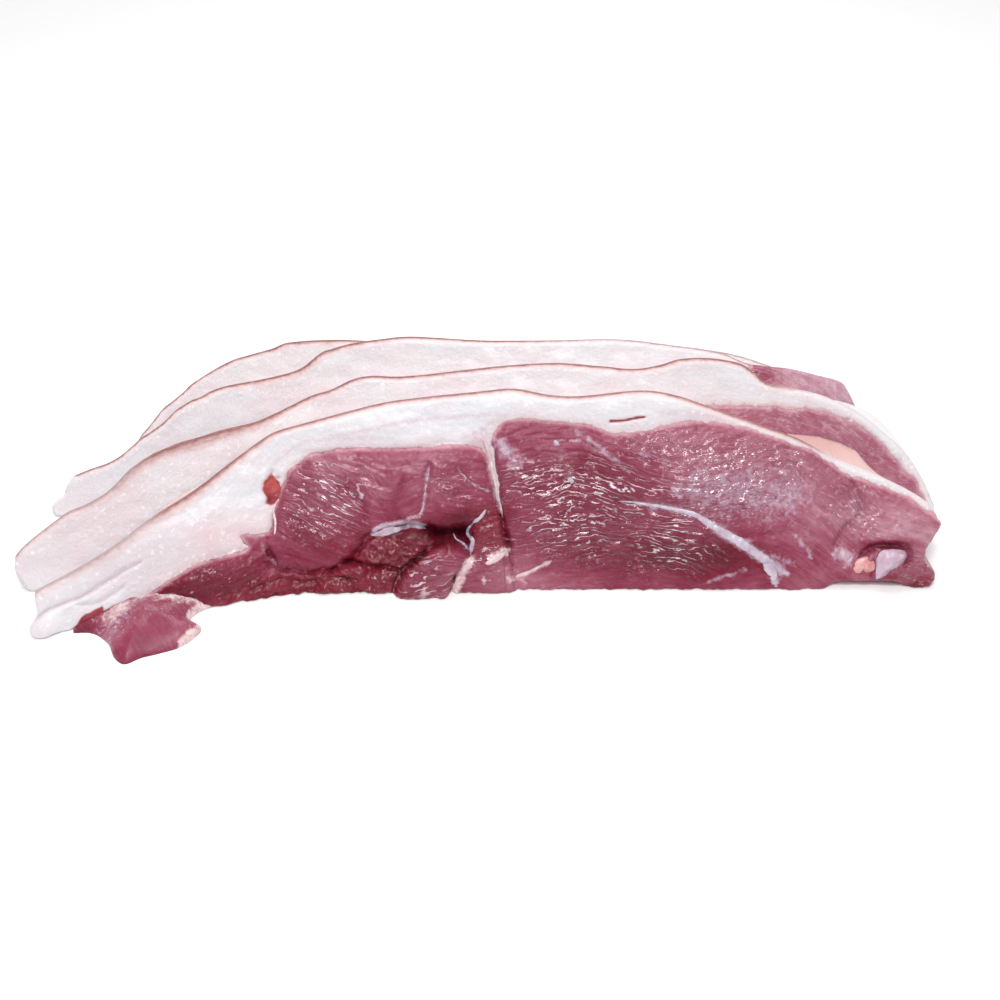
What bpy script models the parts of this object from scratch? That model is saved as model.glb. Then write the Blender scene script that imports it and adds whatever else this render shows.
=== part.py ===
"""Four slices of skin-on pork shoulder that lean on one another like fallen dominoes.

Each slice is drawn on its own cut face: x runs along the slice, v runs up the
leaning face from the surface it stands on, both in millimetres. A face is
triangulated once with its muscles as regions, and every region then becomes one
solid that runs through the slice from the front cut to the back cut.
"""

import math

import bmesh
import bpy
import numpy as np
from mathutils import Vector
from mathutils.geometry import delaunay_2d_cdt

# ---------------------------------------------------------------- driving sizes
MM = 0.001
LEAN_DEG = 36.0
SLICE_PITCH = 21.4
SLICE_GAP = 0.35
NODE_GAP = 0.2
WELD_SHARE = 0.3
FULL_RELIEF_V = 12.0
MOST_FALL = 0.8
TAIL_START_X = -72.0
TAIL_END_X = -170.0
TAIL_CURVE = 1.15
TAIL_FAN = (-27.0, -22.0, 0.0, 0.0)
TAIL_THINS_X = (-184.0, -122.0)
TIP_SHARE = (0.75, 0.6, 0.3, 0.3)
EDGE_WIDTH = 4.0
EDGE_DEPTH = 1.6
FRONT_SPACING = 3.0
HIDDEN_SPACING = 6.5
BACK_SPACING = 12.0
FLAP_SPACING = 2.6
FLAP_HEIGHT = 7.0
FLAP_EDGE = 1.4
FLAP_ROUND = 7.0
BELOW_FLOOR = -6.0
CURVE_STEPS = 12
BORDER_ROOM = 0.62
MERGE_DISTANCE = 1e-5
SHARP_DEG = 40.0

# ------------------------------------------------------ outlines of the slices
# Skin line from the left tip to the right end, then the right end down to the
# floor, then the left tip up from the floor.
SKIN_LINES = (
    ((-166.5, 17), (-153, 22), (-139, 28.5), (-127, 36), (-113, 43), (-99, 52), (-85, 60),
     (-73, 62.5), (-58, 66.5), (-44, 70), (-30, 72), (-10, 74), (5, 75.3), (18, 73), (30, 72.5),
     (52, 74.6), (65, 73), (78, 68.7), (97, 62), (112, 56.5), (127, 48.5), (143, 42.3), (154, 37),
     (161, 32.3), (165, 27)),
    ((-180.2, 15.5), (-178, 17.8), (-173, 21.7), (-163, 28), (-157, 29.9), (-152, 31.9),
     (-148, 34.3), (-145, 36.8), (-140, 41.5), (-133, 45.5), (-129, 46.9), (-122, 48.9),
     (-115, 50), (-107, 51.7), (-96, 53), (-88, 55.4), (-74, 61), (-66, 63.4), (-58, 67.2),
     (-50, 68.8), (-35, 68.8), (0, 72.6), (22, 73.8), (39, 72.6), (52, 71.5), (62, 73), (70, 75.3),
     (81, 75.7), (93, 73.8), (99, 70), (104, 66), (114, 64), (126, 61), (139, 55), (150, 46.5),
     (159, 38), (165.5, 28), (169.5, 19)),
    ((-172.5, 17.5), (-166.7, 19.8), (-161, 21.7), (-157, 23.5), (-153.5, 25.8), (-149.3, 29.3),
     (-146, 32.3), (-141, 35.6), (-137, 38.5), (-132, 43.3), (-129, 45.5), (-125, 47.8),
     (-121, 49.3), (-117, 51.6), (-110, 53.8), (-101, 55.4), (-93, 57), (-85, 59), (-80, 61.1),
     (-76, 64.2), (-72, 67.2), (-68, 68.6), (-60, 70.7), (-48, 72.5), (-35, 73.5), (-8, 72),
     (20, 72), (48, 72.4), (72, 69.7), (89, 67.1), (101, 62.5), (117, 60.6), (129, 57.8),
     (138, 55.2), (142, 50), (146, 42), (152, 34), (157, 24)),
    ((-166, 3), (-162, 7.5), (-157, 13), (-153.5, 18.3), (-151, 22), (-148, 25.5), (-145, 29.3),
     (-142, 32.9), (-138, 35.9), (-133, 40.2), (-130, 43), (-122, 48.2), (-113, 52.9),
     (-105, 55.4), (-96, 57.9), (-88, 60.6), (-66, 61.6), (-30, 60), (60, 59.5), (90, 57),
     (110, 52), (125, 45), (136, 34), (141, 21)),
)
RIGHT_ENDS = (
    ((165, 27), (165.5, 24.5), (162, 19), (159, 14), (160, 10), (163, 6), (162, 1.5), (158, 0)),
    ((169.5, 19), (168, 11), (165, 3.5), (160, 0)),
    ((157, 24), (159, 12), (157, 3), (154, 0)),
    ((141, 21), (141, 9), (139, 3), (135, 0)),
)
LEFT_TIPS = (
    ((-157, 0), (-164.5, 0), (-167.5, 2.4), (-166.6, 5.5), (-165.3, 7), (-166, 12.5), (-166.5, 17)),
    ((-168, 0), (-174.4, 0.6), (-177, 2.8), (-179, 6), (-180.2, 10), (-180.2, 15.5)),
    ((-170, 0), (-178.4, 0.3), (-181, 1.4), (-181.7, 3.6), (-181, 5.7), (-178.2, 7.9),
     (-176.6, 9), (-176.4, 11.1), (-174.4, 14.9), (-172.5, 17.5)),
    ((-158, 0), (-166, 0.3), (-167.5, 1.6), (-166, 3)),
)

# How steeply the skin falls from the front cut to the back cut: x and slope.
SKIN_SLOPES = (
    ((-170, 0.6), (-145, 0.5), (-120, 0.42), (-98, 0.5), (-75, 0.68), (78, 0.68), (97, 0.62),
     (108, 0.55), (114, 0.44), (124, 0.22), (132, 0.17), (138, 0.2), (143, 0.4), (149, 0.62)),
    ((-183, 0.6), (-130, 0.62), (-108, 0.5), (-88, 0.55), (-65, 0.68), (120, 0.68), (150, 0.2)),
    ((-180, 0.7), (150, 0.7)),
    ((-180, 1.0), (140, 1.0)),
)

# ------------------------------------------------------- muscles on the faces
# Closed outlines, drawn on past the floor line, which then cuts them level.
LEFT_MUSCLES = (
    (-112, BELOW_FLOOR), (-112, 1), (-119, 6), (-128, 7), (-122, 11), (-113, 15), (-105, 17),
    (-97, 17.5), (-93, 19), (-96, 24), (-91, 23.5), (-86, 24), (-84, 31), (-82, 37), (-80, 42),
    (-75, 48), (-67, 51.5), (-55, 52.8), (-30, 53.2), (-15, 54), (-9, 53), (-6, 49), (-4, 43),
    (-2, 36), (0, 30), (2, 22), (4, 12), (5, 4), (5.5, BELOW_FLOOR),
)
RIGHT_MUSCLES = (
    (1, BELOW_FLOOR), (0, 6), (-0.5, 14), (0, 22), (1.2, 29), (-0.2, 36), (-1, 44), (-2.5, 52),
    (-3, 57), (1, 62.5), (8, 64), (20, 63), (33, 61.5), (42, 58.5), (52, 59.5), (62, 61.5),
    (73, 63), (84, 62), (95, 59.5), (108, 55), (118, 51), (128, 44), (139, 40), (152, 35),
    (160, 29.5), (166, 25.5), (176, 20), (176, BELOW_FLOOR),
)
CARTILAGE = ((140, 11), (143, 13.3), (148, 14), (152, 13), (150.5, 9), (146, 5), (141, 3.8))
HIDDEN_MUSCLES = (
    (-104, BELOW_FLOOR), (-100, 14), (-88, 24), (-80, 42), (-66, 51), (-30, 54), (5, 56),
    (40, 56), (62, 57), (87, 57), (109, 56.5), (124, 55), (136, 51.5), (145, 45.5), (152, 38.5),
    (160, 29.5), (166, 20), (168, 15), (180, BELOW_FLOOR),
)
THIRD_MUSCLES = (
    (-104, BELOW_FLOOR), (-100, 14), (-88, 24), (-80, 42), (-66, 50), (-30, 52), (30, 52),
    (80, 52), (96, 56), (103, 64), (118, 68), (175, 60), (175, BELOW_FLOOR),
)
LAST_MUSCLES = (
    (-102, BELOW_FLOOR), (-96, 16), (-84, 30), (-74, 42), (-40, 46), (40, 46), (85, 46),
    (106, 42), (122, 36), (132, 26), (136, 14), (142, BELOW_FLOOR),
)

# -------------------------------------------------- relief of the front face
# Lobes are x, v, half length, half height, height towards the viewer.
LOBES = (
    (-57, 36, 28, 20, 3.6), (-25, 40, 22, 14, 3.8), (-70, 16, 18, 11, 2.4),
    (-105, 10, 22, 11, 2.2), (-62, 3, 30, 8, 3.0), (-44, 13, 13, 9, 2.4),
    (-30, 5, 13, 13, 7.0), (-5, 5, 13, 9, 2.0), (-4, 20, 7, 12, 2.2),
    (28, 34, 36, 30, 3.6), (84, 30, 46, 32, 3.4), (148, 18, 18, 18, 2.4),
    (30, 69, 60, 9, 1.4), (-60, 60, 40, 10, 1.2), (-120, 28, 40, 14, 1.5),
    (-24, 22, 18, 6.5, -9.0), (-85, 39, 4.5, 8, -3.0), (138, 0, 18, 6, -6.5),
    (-161, 1, 8, 9, 4.0), (-92, 0, 14, 9, 2.5),
)
# Creases are a path on the face, a depth and a half width.
CREASES = (
    (((-165, 7), (-147, 13), (-127, 23), (-107, 29)), 1.4, 2.2),
    (((-9, 54), (-3, 39), (0, 30)), 1.6, 2.4),
    (((1, 29), (3, 19), (4, 8)), 3.0, 2.2),
    (((-87, 18), (-72, 7), (-60, 10), (-52, 20)), 1.8, 2.4),
    (((45, 33), (65, 31), (82, 20), (96, 10), (106, 8)), 1.0, 2.6),
    (((135, 30), (129, 21), (125, 12)), 1.1, 2.4),
    (((40, 62.6), (53, 64)), 1.6, 1.4),
)
CARTILAGE_KNOB = (146, 9.2, 5.0, 4.4, 2.6)

# ------------------------------------------------------------- the front flap
# Outline on the floor: x, and q, the distance in front of the first cut face.
FLAP_OUTLINE = (
    (-102, 0.6), (-109, 2.5), (-112, 7), (-107, 13), (-112, 19.5), (-119, 21), (-125, 21.5),
    (-130, 23), (-134.5, 18.5), (-138, 11.5), (-142.5, 6), (-146, 3.2), (-149, 2),
    (-151.5, 1.4), (-152.5, 0.9), (-151.5, 0.5),
)


# ------------------------------------------------------------ curves and areas
def smooth_curve(points, spacing):
    """Points about one spacing apart on a smooth curve through the given points."""
    knots = np.array(points, float)
    padded = np.vstack([2 * knots[0] - knots[1], knots, 2 * knots[-1] - knots[-2]])
    steps = np.linspace(0, 1, CURVE_STEPS, endpoint=False)[:, None]
    parts = []
    for before, start, end, after in zip(padded, padded[1:], padded[2:], padded[3:]):
        slope_in = (end - before) / 2
        slope_out = (after - start) / 2
        parts.append((2 * steps**3 - 3 * steps**2 + 1) * start
                     + (steps**3 - 2 * steps**2 + steps) * slope_in
                     + (3 * steps**2 - 2 * steps**3) * end
                     + (steps**3 - steps**2) * slope_out)
    dense = np.vstack(parts + [knots[-1:]])
    return resample(dense, spacing)


def resample(line, spacing):
    """The same polyline with its points an even distance apart."""
    lengths = np.concatenate([[0], np.cumsum(np.linalg.norm(np.diff(line, axis=0), axis=1))])
    count = max(2, round(lengths[-1] / spacing) + 1)
    places = np.linspace(0, lengths[-1], count)
    return np.column_stack([np.interp(places, lengths, line[:, axis]) for axis in (0, 1)])


def joined(*lines):
    """One closed ring of points from lines that meet end to end."""
    return np.vstack([line[:-1] for line in lines])


def inside(points, ring):
    """Which points lie inside a closed ring."""
    x, y = points[:, 0][:, None], points[:, 1][:, None]
    x0, y0 = ring[:, 0], ring[:, 1]
    x1, y1 = np.roll(x0, -1), np.roll(y0, -1)
    crosses = (y0 > y) != (y1 > y)
    rise = np.where(y1 == y0, 1.0, y1 - y0)
    at = x0 + (y - y0) * (x1 - x0) / rise
    return (crosses & (x < at)).sum(axis=1) % 2 == 1


def distance_to_line(points, line):
    """How far each point is from an open polyline."""
    start, end = line[:-1], line[1:]
    run = end - start
    along = ((points[:, None] - start) * run).sum(axis=2) / (run * run).sum(axis=1)
    nearest = start + np.clip(along, 0, 1)[..., None] * run
    return np.linalg.norm(points[:, None] - nearest, axis=2).min(axis=1)


def closed_line(ring):
    """A ring as a polyline that ends where it starts."""
    return np.vstack([ring, ring[:1]])


# ----------------------------------------------------------- planar triangles
def fill_points(ring, lines, spacing):
    """Points on a triangular grid inside a ring, clear of every border line."""
    low, high = ring.min(axis=0), ring.max(axis=0)
    row_height = spacing * math.sqrt(0.75)
    rows = []
    for row, v in enumerate(np.arange(low[1] + row_height / 2, high[1], row_height)):
        shift = spacing / 2 * (row % 2)
        across = np.arange(low[0] + shift, high[0], spacing)
        rows.append(np.column_stack([across, np.full(len(across), v)]))
    points = np.vstack(rows)
    points = points[inside(points, ring)]
    for line in lines:
        points = points[distance_to_line(points, line) > BORDER_ROOM * spacing]
    return points


def triangulate(rings, extra):
    """Triangles over the rings, whose edges are kept, and the extra points."""
    points = []
    edges = []
    for ring in rings:
        first = len(points)
        count = len(ring)
        points += [Vector(point) for point in ring]
        edges += [(first + i, first + (i + 1) % count) for i in range(count)]
    points += [Vector(point) for point in extra]
    verts, _, faces, *_ = delaunay_2d_cdt(points, edges, [], 0, MERGE_DISTANCE)
    corners = np.array([(vert.x, vert.y) for vert in verts])
    triangles = np.array([list(face) for face in faces])
    return corners, turned_up(corners, triangles)


def turned_up(corners, triangles):
    """The triangles with all their corners in the same sense."""
    a, b, c = (corners[triangles[:, i]] for i in range(3))
    ab, ac = b - a, c - a
    flipped = ab[:, 0] * ac[:, 1] - ab[:, 1] * ac[:, 0] < 0
    triangles[flipped] = triangles[flipped][:, ::-1]
    return triangles


def welded(corners, triangles, distance):
    """The triangles with every edge shorter than the distance closed up."""
    stands_for = np.arange(len(corners))
    for i in range(3):
        ends = np.sort(np.column_stack([triangles[:, i], triangles[:, (i + 1) % 3]]), axis=1)
        lengths = np.linalg.norm(corners[ends[:, 0]] - corners[ends[:, 1]], axis=1)
        for first, second in ends[lengths < distance]:
            stands_for[second] = stands_for[first]
    triangles = stands_for[triangles]
    first, second, third = triangles.T
    return triangles[(first != second) & (second != third) & (third != first)]


def border_loops(triangles):
    """The closed loops of corner numbers around a patch of triangles."""
    edges = {(int(t[i]), int(t[(i + 1) % 3])) for t in triangles for i in range(3)}
    follows = {a: b for a, b in edges if (b, a) not in edges}
    loops = []
    while follows:
        loop = [next(iter(follows))]
        while follows[loop[-1]] != loop[0]:
            loop.append(follows[loop[-1]])
        for corner in loop:
            del follows[corner]
        loops.append(loop)
    return loops


def pulled_in(corners, loops, inner, amount):
    """The corners with those on inner borders moved into the patch a little."""
    moved = corners.copy()
    for loop in loops:
        ring = corners[loop]
        ahead, behind = np.roll(ring, -1, axis=0), np.roll(ring, 1, axis=0)
        along = ahead - behind
        along /= np.linalg.norm(along, axis=1)[:, None]
        inward = np.column_stack([-along[:, 1], along[:, 0]])
        on_inner = np.array([inner[corner] for corner in loop])
        moved[loop] += inward * (amount * on_inner)[:, None]
    return moved


# --------------------------------------------------------------- solid bodies
def solid_between(name, corners, triangles, front, back):
    """A closed mesh object between a front and a back surface over one patch.

    The front keeps the patch's triangles. The back is filled again with fewer,
    and walls join the two along every border loop.
    """
    loops = border_loops(triangles)
    mesh = bmesh.new()
    front_verts = [mesh.verts.new(place) for place in front(corners)]
    for triangle in triangles:
        mesh.faces.new([front_verts[i] for i in triangle])
    rings = [corners[loop] for loop in loops]
    outer = max(rings, key=lambda ring: np.ptp(ring[:, 0]))
    holes = [ring for ring in rings if ring is not outer]
    extra = fill_points(outer, [closed_line(ring) for ring in rings], BACK_SPACING)
    for hole in holes:
        extra = extra[~inside(extra, hole)]
    back_corners, back_triangles = triangulate(rings, extra)
    centres = back_corners[back_triangles].mean(axis=1)
    kept = inside(centres, outer)
    for hole in holes:
        kept &= ~inside(centres, hole)
    back_verts = [mesh.verts.new(place) for place in back(back_corners)]
    for triangle in back_triangles[kept]:
        mesh.faces.new([back_verts[i] for i in reversed(triangle)])
    start = 0
    for loop in loops:
        count = len(loop)
        for i in range(count):
            here, there = start + i, start + (i + 1) % count
            near, far = front_verts[loop[i]], front_verts[loop[(i + 1) % count]]
            mesh.faces.new([far, near, back_verts[here], back_verts[there]])
        start += count
    loose = [vert for vert in mesh.verts if not vert.link_faces]
    bmesh.ops.delete(mesh, geom=loose, context='VERTS')
    bmesh.ops.triangulate(mesh, faces=[face for face in mesh.faces if len(face.verts) > 3])
    bmesh.ops.recalc_face_normals(mesh, faces=mesh.faces)
    return object_from(mesh, name)


def object_from(mesh, name):
    """A smooth shaded object in the scene that holds the finished mesh."""
    data = bpy.data.meshes.new(name)
    mesh.to_mesh(data)
    mesh.free()
    data.shade_smooth()
    data.set_sharp_from_angle(angle=math.radians(SHARP_DEG))
    body = bpy.data.objects.new(name, data)
    bpy.context.scene.collection.objects.link(body)
    return body


# ---------------------------------------------------------- places of slices
def ramp(values, low, high):
    """Smooth steps from 0 at low to 1 at high."""
    share = np.clip((values - low) / (high - low), 0, 1)
    return share * share * (3 - 2 * share)


def foot_line(number, x):
    """Depth of a slice's front foot at x, with the tails fanned forward."""
    share = np.maximum(TAIL_START_X - x, 0) / (TAIL_START_X - TAIL_END_X)
    return number * SLICE_PITCH + TAIL_FAN[number] * share**TAIL_CURVE


def thickness(number, x):
    """Front to back size of a slice along the floor at x, less at its tail."""
    tip = TIP_SHARE[number]
    return (SLICE_PITCH - SLICE_GAP) * (tip + (1 - tip) * ramp(x, *TAIL_THINS_X))


def skin_fall(number, x):
    """Share of its height that a face loses from front cut to back cut."""
    slope = np.interp(x, *zip(*SKIN_SLOPES[number]))
    top = np.interp(x, *zip(*SKIN_LINES[number]))
    return np.minimum(slope * thickness(number, x) / top, MOST_FALL)


def on_slice(number, corners, share, forward=0.0):
    """Places in metres of face corners, share of the way through a slice."""
    lean = math.radians(LEAN_DEG)
    x = corners[:, 0]
    v = corners[:, 1] * (1 - skin_fall(number, x) * share)
    depth = foot_line(number, x) + share * thickness(number, x) - forward * math.cos(lean)
    lifted = forward * math.sin(lean) * ramp(v, 0, FULL_RELIEF_V)
    places = np.column_stack([x, depth + v * math.sin(lean), v * math.cos(lean) + lifted])
    return places * MM


def lobe_height(corners, lobe):
    """Height of one rounded lobe at each corner."""
    x, v, half_length, half_height, height = lobe
    square = ((corners[:, 0] - x) / half_length) ** 2 + ((corners[:, 1] - v) / half_height) ** 2
    return height * np.clip(1 - square, 0, None) ** 1.5


def lobes_forward(corners):
    """How far the lobes of the first cut face stand forward at each corner."""
    return sum(lobe_height(corners, lobe) for lobe in LOBES)


def relief(corners, outline):
    """How far the first cut face stands forward at each corner."""
    forward = lobes_forward(corners)
    for path, depth, half_width in CREASES:
        away = distance_to_line(corners, smooth_curve(path, 4.0))
        forward -= depth * np.exp(-(away / half_width) ** 2)
    near_rim = np.clip(1 - distance_to_line(corners, closed_line(outline)) / EDGE_WIDTH, 0, 1)
    forward -= EDGE_DEPTH * near_rim**2
    return forward


# --------------------------------------------------------------- the materials
def meat_material(name, colour, roughness):
    """A plain wet surface of one colour."""
    material = bpy.data.materials.new(name)
    material.use_nodes = True
    shader = material.node_tree.nodes["Principled BSDF"]
    shader.inputs["Base Color"].default_value = (*colour, 1.0)
    shader.inputs["Roughness"].default_value = roughness
    shader.inputs["Metallic"].default_value = 0.0
    return material


def fat_material():
    """Pinkish white back fat."""
    return meat_material("fat", (0.87, 0.79, 0.80), 0.42)


def lean_material():
    """Moist dark pink lean."""
    return meat_material("lean", (0.37, 0.12, 0.16), 0.36)


def cartilage_material():
    """Pale lilac cartilage."""
    return meat_material("cartilage", (0.62, 0.52, 0.62), 0.32)


# ------------------------------------------------------------------ the pieces
def slice_outline(number, spacing):
    """The closed outline of one slice's front cut face."""
    skin = smooth_curve(SKIN_LINES[number], spacing)
    end = smooth_curve(RIGHT_ENDS[number], spacing)
    tip = smooth_curve(LEFT_TIPS[number], spacing)
    floor = resample(np.array([end[-1], tip[0]]), spacing)
    outline = joined(skin, end, floor, tip)
    return np.column_stack([outline[:, 0], np.maximum(outline[:, 1], 0)])


def muscle_ring(points, spacing):
    """A muscle's outline as a closed ring, square where the floor cuts it."""
    side = smooth_curve(points, spacing)
    under = resample(np.array([side[-1], side[0]]), spacing)
    return joined(side, under)


def build_slice(number, regions, spacing, base_material):
    """One slice: its fat and the other regions, each a solid through the slice.

    Regions are name, ring and material. Where rings cross, the later one has
    the ground, and what no ring holds is fat.
    """
    outline = slice_outline(number, spacing)
    rings = [outline] + [ring for _, ring, _ in regions]
    borders = [closed_line(ring) for ring in rings]
    extra = fill_points(outline, borders, spacing)
    corners, triangles = triangulate(rings, extra)
    triangles = welded(corners, triangles, WELD_SHARE * spacing)
    centres = corners[triangles].mean(axis=1)
    label = np.where(inside(centres, outline), 0, -1)
    for index, (_, ring, _) in enumerate(regions, start=1):
        label[inside(centres, ring) & (label >= 0)] = index
    on_border = shared_corners(triangles, label, len(corners))
    names = [f"slice_{number + 1}_fat"] + [name for name, _, _ in regions]
    materials = [base_material] + [material for _, _, material in regions]
    for index, name in enumerate(names):
        patch = largest_patch(triangles[label == index])
        moved = pulled_in(corners, border_loops(patch), on_border, NODE_GAP)
        body = solid_between(name, moved, patch, front_of(number, outline, name),
                             lambda places: on_slice(number, places, 1.0))
        body.data.materials.append(materials[index])


def front_of(number, outline, name):
    """The function that puts a region's corners on the front cut face."""
    def front(corners):
        if number > 0:
            return on_slice(number, corners, 0.0)
        forward = relief(corners, outline)
        if name.endswith("cartilage"):
            forward = forward + lobe_height(corners, CARTILAGE_KNOB)
        return on_slice(number, corners, 0.0, forward)
    return front


def shared_corners(triangles, label, count):
    """Which corners touch more than one region of the slice."""
    lowest = np.full(count, label.max() + 1)
    highest = np.full(count, -1)
    for triangle, region in zip(triangles, label):
        if region >= 0:
            lowest[triangle] = np.minimum(lowest[triangle], region)
            highest[triangle] = np.maximum(highest[triangle], region)
    return highest > lowest


def largest_patch(triangles):
    """The biggest set of triangles that hang together by their edges."""
    owners = {}
    for index, triangle in enumerate(triangles):
        for i in range(3):
            edge = frozenset((int(triangle[i]), int(triangle[(i + 1) % 3])))
            owners.setdefault(edge, []).append(index)
    neighbours = [[] for _ in triangles]
    for pair in owners.values():
        if len(pair) == 2:
            neighbours[pair[0]].append(pair[1])
            neighbours[pair[1]].append(pair[0])
    unseen = set(range(len(triangles)))
    best = []
    while unseen:
        patch = [unseen.pop()]
        for index in patch:
            fresh = [other for other in neighbours[index] if other in unseen]
            unseen.difference_update(fresh)
            patch += fresh
        if len(patch) > len(best):
            best = patch
    return triangles[sorted(best)]


def build_flap(material):
    """The lobe of lean that has flopped forward onto the floor at the left."""
    edge = smooth_curve(FLAP_OUTLINE, FLAP_SPACING)
    ring = joined(edge, resample(np.array([edge[-1], edge[0]]), FLAP_SPACING))
    rim = closed_line(edge)
    extra = fill_points(ring, [closed_line(ring)], FLAP_SPACING)
    corners, triangles = triangulate([ring], extra)
    triangles = triangles[inside(corners[triangles].mean(axis=1), ring)]

    def on_floor(places, height):
        lean = math.radians(LEAN_DEG)
        on_face = np.column_stack([places[:, 0], height / math.cos(lean)])
        face = foot_line(0, places[:, 0]) - np.maximum(lobes_forward(on_face), 0)
        depth = face - places[:, 1] + height * math.tan(lean)
        return np.column_stack([places[:, 0], depth, height]) * MM

    def top(places):
        rise = np.clip(distance_to_line(places, rim[:-1]) / FLAP_ROUND, 0, 1)
        height = FLAP_EDGE + (FLAP_HEIGHT - FLAP_EDGE) * np.sqrt(1 - (1 - rise) ** 2)
        return on_floor(places, height)

    def bottom(places):
        return on_floor(places, np.zeros(len(places)))

    flap = solid_between("slice_1_flap", corners, triangles, top, bottom)
    flap.data.materials.append(material)


def centre_on_origin():
    """Move every mesh so that the middle of the underside is the origin."""
    bodies = [body for body in bpy.data.objects if body.type == 'MESH']
    places = np.vstack([[vert.co for vert in body.data.vertices] for body in bodies])
    low, high = places.min(axis=0), places.max(axis=0)
    middle = Vector(((low[0] + high[0]) / 2, (low[1] + high[1]) / 2, low[2]))
    for body in bodies:
        for vert in body.data.vertices:
            vert.co -= middle


def main():
    """Build the four slices and the flap."""
    for old in list(bpy.data.objects):
        bpy.data.objects.remove(old)
    fat, lean, cartilage = fat_material(), lean_material(), cartilage_material()
    first = [
        ("slice_1_lean_right", muscle_ring(RIGHT_MUSCLES, FRONT_SPACING), lean),
        ("slice_1_lean_left", muscle_ring(LEFT_MUSCLES, FRONT_SPACING), lean),
        ("slice_1_cartilage", muscle_ring(CARTILAGE, FRONT_SPACING), cartilage),
    ]
    build_slice(0, first, FRONT_SPACING, fat)
    build_flap(lean)
    behind = (HIDDEN_MUSCLES, THIRD_MUSCLES, LAST_MUSCLES)
    for number, points in enumerate(behind, start=1):
        region = (f"slice_{number + 1}_lean", muscle_ring(points, HIDDEN_SPACING), lean)
        build_slice(number, [region], HIDDEN_SPACING, fat)
    centre_on_origin()


main()
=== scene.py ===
import logging
import math
from collections.abc import Callable, Sequence
from dataclasses import dataclass, field
from enum import Enum

import bpy
import numpy as np
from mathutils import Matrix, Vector
from mathutils.geometry import delaunay_2d_cdt
from mathutils.kdtree import KDTree


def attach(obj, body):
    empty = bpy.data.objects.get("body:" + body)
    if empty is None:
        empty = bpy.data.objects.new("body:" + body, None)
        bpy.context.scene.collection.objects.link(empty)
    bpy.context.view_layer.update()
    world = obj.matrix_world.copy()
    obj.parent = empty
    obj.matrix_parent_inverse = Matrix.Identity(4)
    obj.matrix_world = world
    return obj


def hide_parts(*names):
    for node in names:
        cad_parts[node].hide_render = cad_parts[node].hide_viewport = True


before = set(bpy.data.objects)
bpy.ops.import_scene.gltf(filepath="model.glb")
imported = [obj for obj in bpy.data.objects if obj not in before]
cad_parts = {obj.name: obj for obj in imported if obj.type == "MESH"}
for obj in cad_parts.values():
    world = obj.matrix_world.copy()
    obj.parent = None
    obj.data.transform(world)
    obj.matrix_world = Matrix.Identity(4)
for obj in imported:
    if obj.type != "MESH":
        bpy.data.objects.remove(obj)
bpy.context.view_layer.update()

LOG = logging.getLogger("pork_shoulder")
MM = 0.001
AT_ONCE = 8000
BACK_SPACING = 12.0
WANDER_SEED = 17
PIT_SEED = 21
BACK_SEED = 30
Path = Sequence[tuple[float, float]]


# ------------------------------------------------------------------ plain maths
def ramp(values: np.ndarray, low: float, high: float) -> np.ndarray:
    """Smooth steps from 0 at low to 1 at high."""
    share = np.clip((values - low) / (high - low), 0, 1)
    return share * share * (3 - 2 * share)


def resample(line: np.ndarray, spacing: float) -> np.ndarray:
    """The same polyline with its points an even distance apart."""
    lengths = np.concatenate([[0], np.cumsum(np.linalg.norm(np.diff(line, axis=0), axis=1))])
    count = max(2, round(lengths[-1] / spacing) + 1)
    places = np.linspace(0, lengths[-1], count)
    return np.column_stack([np.interp(places, lengths, column) for column in line.T])


def smooth_curve(points: Path, spacing: float) -> np.ndarray:
    """Even points on a smooth curve through the given ones.

    Args:
        points: what the curve passes through, in millimetres.
        spacing: the distance between the points that come back.

    Returns:
        The points, one row each.
    """
    knots = np.array(points, float)
    padded = np.vstack([2 * knots[0] - knots[1], knots, 2 * knots[-1] - knots[-2]])
    steps = np.linspace(0, 1, 12, endpoint=False)[:, None]
    parts = []
    for before, start, end, after in zip(padded, padded[1:], padded[2:], padded[3:]):
        slope_in = (end - before) / 2
        slope_out = (after - start) / 2
        parts.append((2 * steps**3 - 3 * steps**2 + 1) * start
                     + (steps**3 - 2 * steps**2 + steps) * slope_in
                     + (3 * steps**2 - 2 * steps**3) * end
                     + (steps**3 - steps**2) * slope_out)
    return resample(np.vstack(parts + [knots[-1:]]), spacing)


def ring_of(points: Path, spacing: float) -> np.ndarray:
    """A smooth closed ring through the points, whose last join is straight."""
    side = smooth_curve(points, spacing)
    under = resample(np.array([side[-1], side[0]]), spacing)
    return np.vstack([side[:-1], under[:-1]])


def wandering(ring: np.ndarray, by: float) -> np.ndarray:
    """The ring with its points moved about a little, as borders in meat do.

    Args:
        ring: the closed ring.
        by: how far the points move, in millimetres.

    Returns:
        The moved ring.
    """
    x, v = ring.T
    shift = np.zeros_like(ring)
    for column in (0, 1):
        noise = Noise(WANDER_SEED + column)
        for size, part in ((6.3, 1.0), (2.3, 0.45)):
            shift[:, column] += part * noise.at((x + 0.7 * v) / size, (v - 0.7 * x) / size)
    return ring + by * shift


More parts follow.
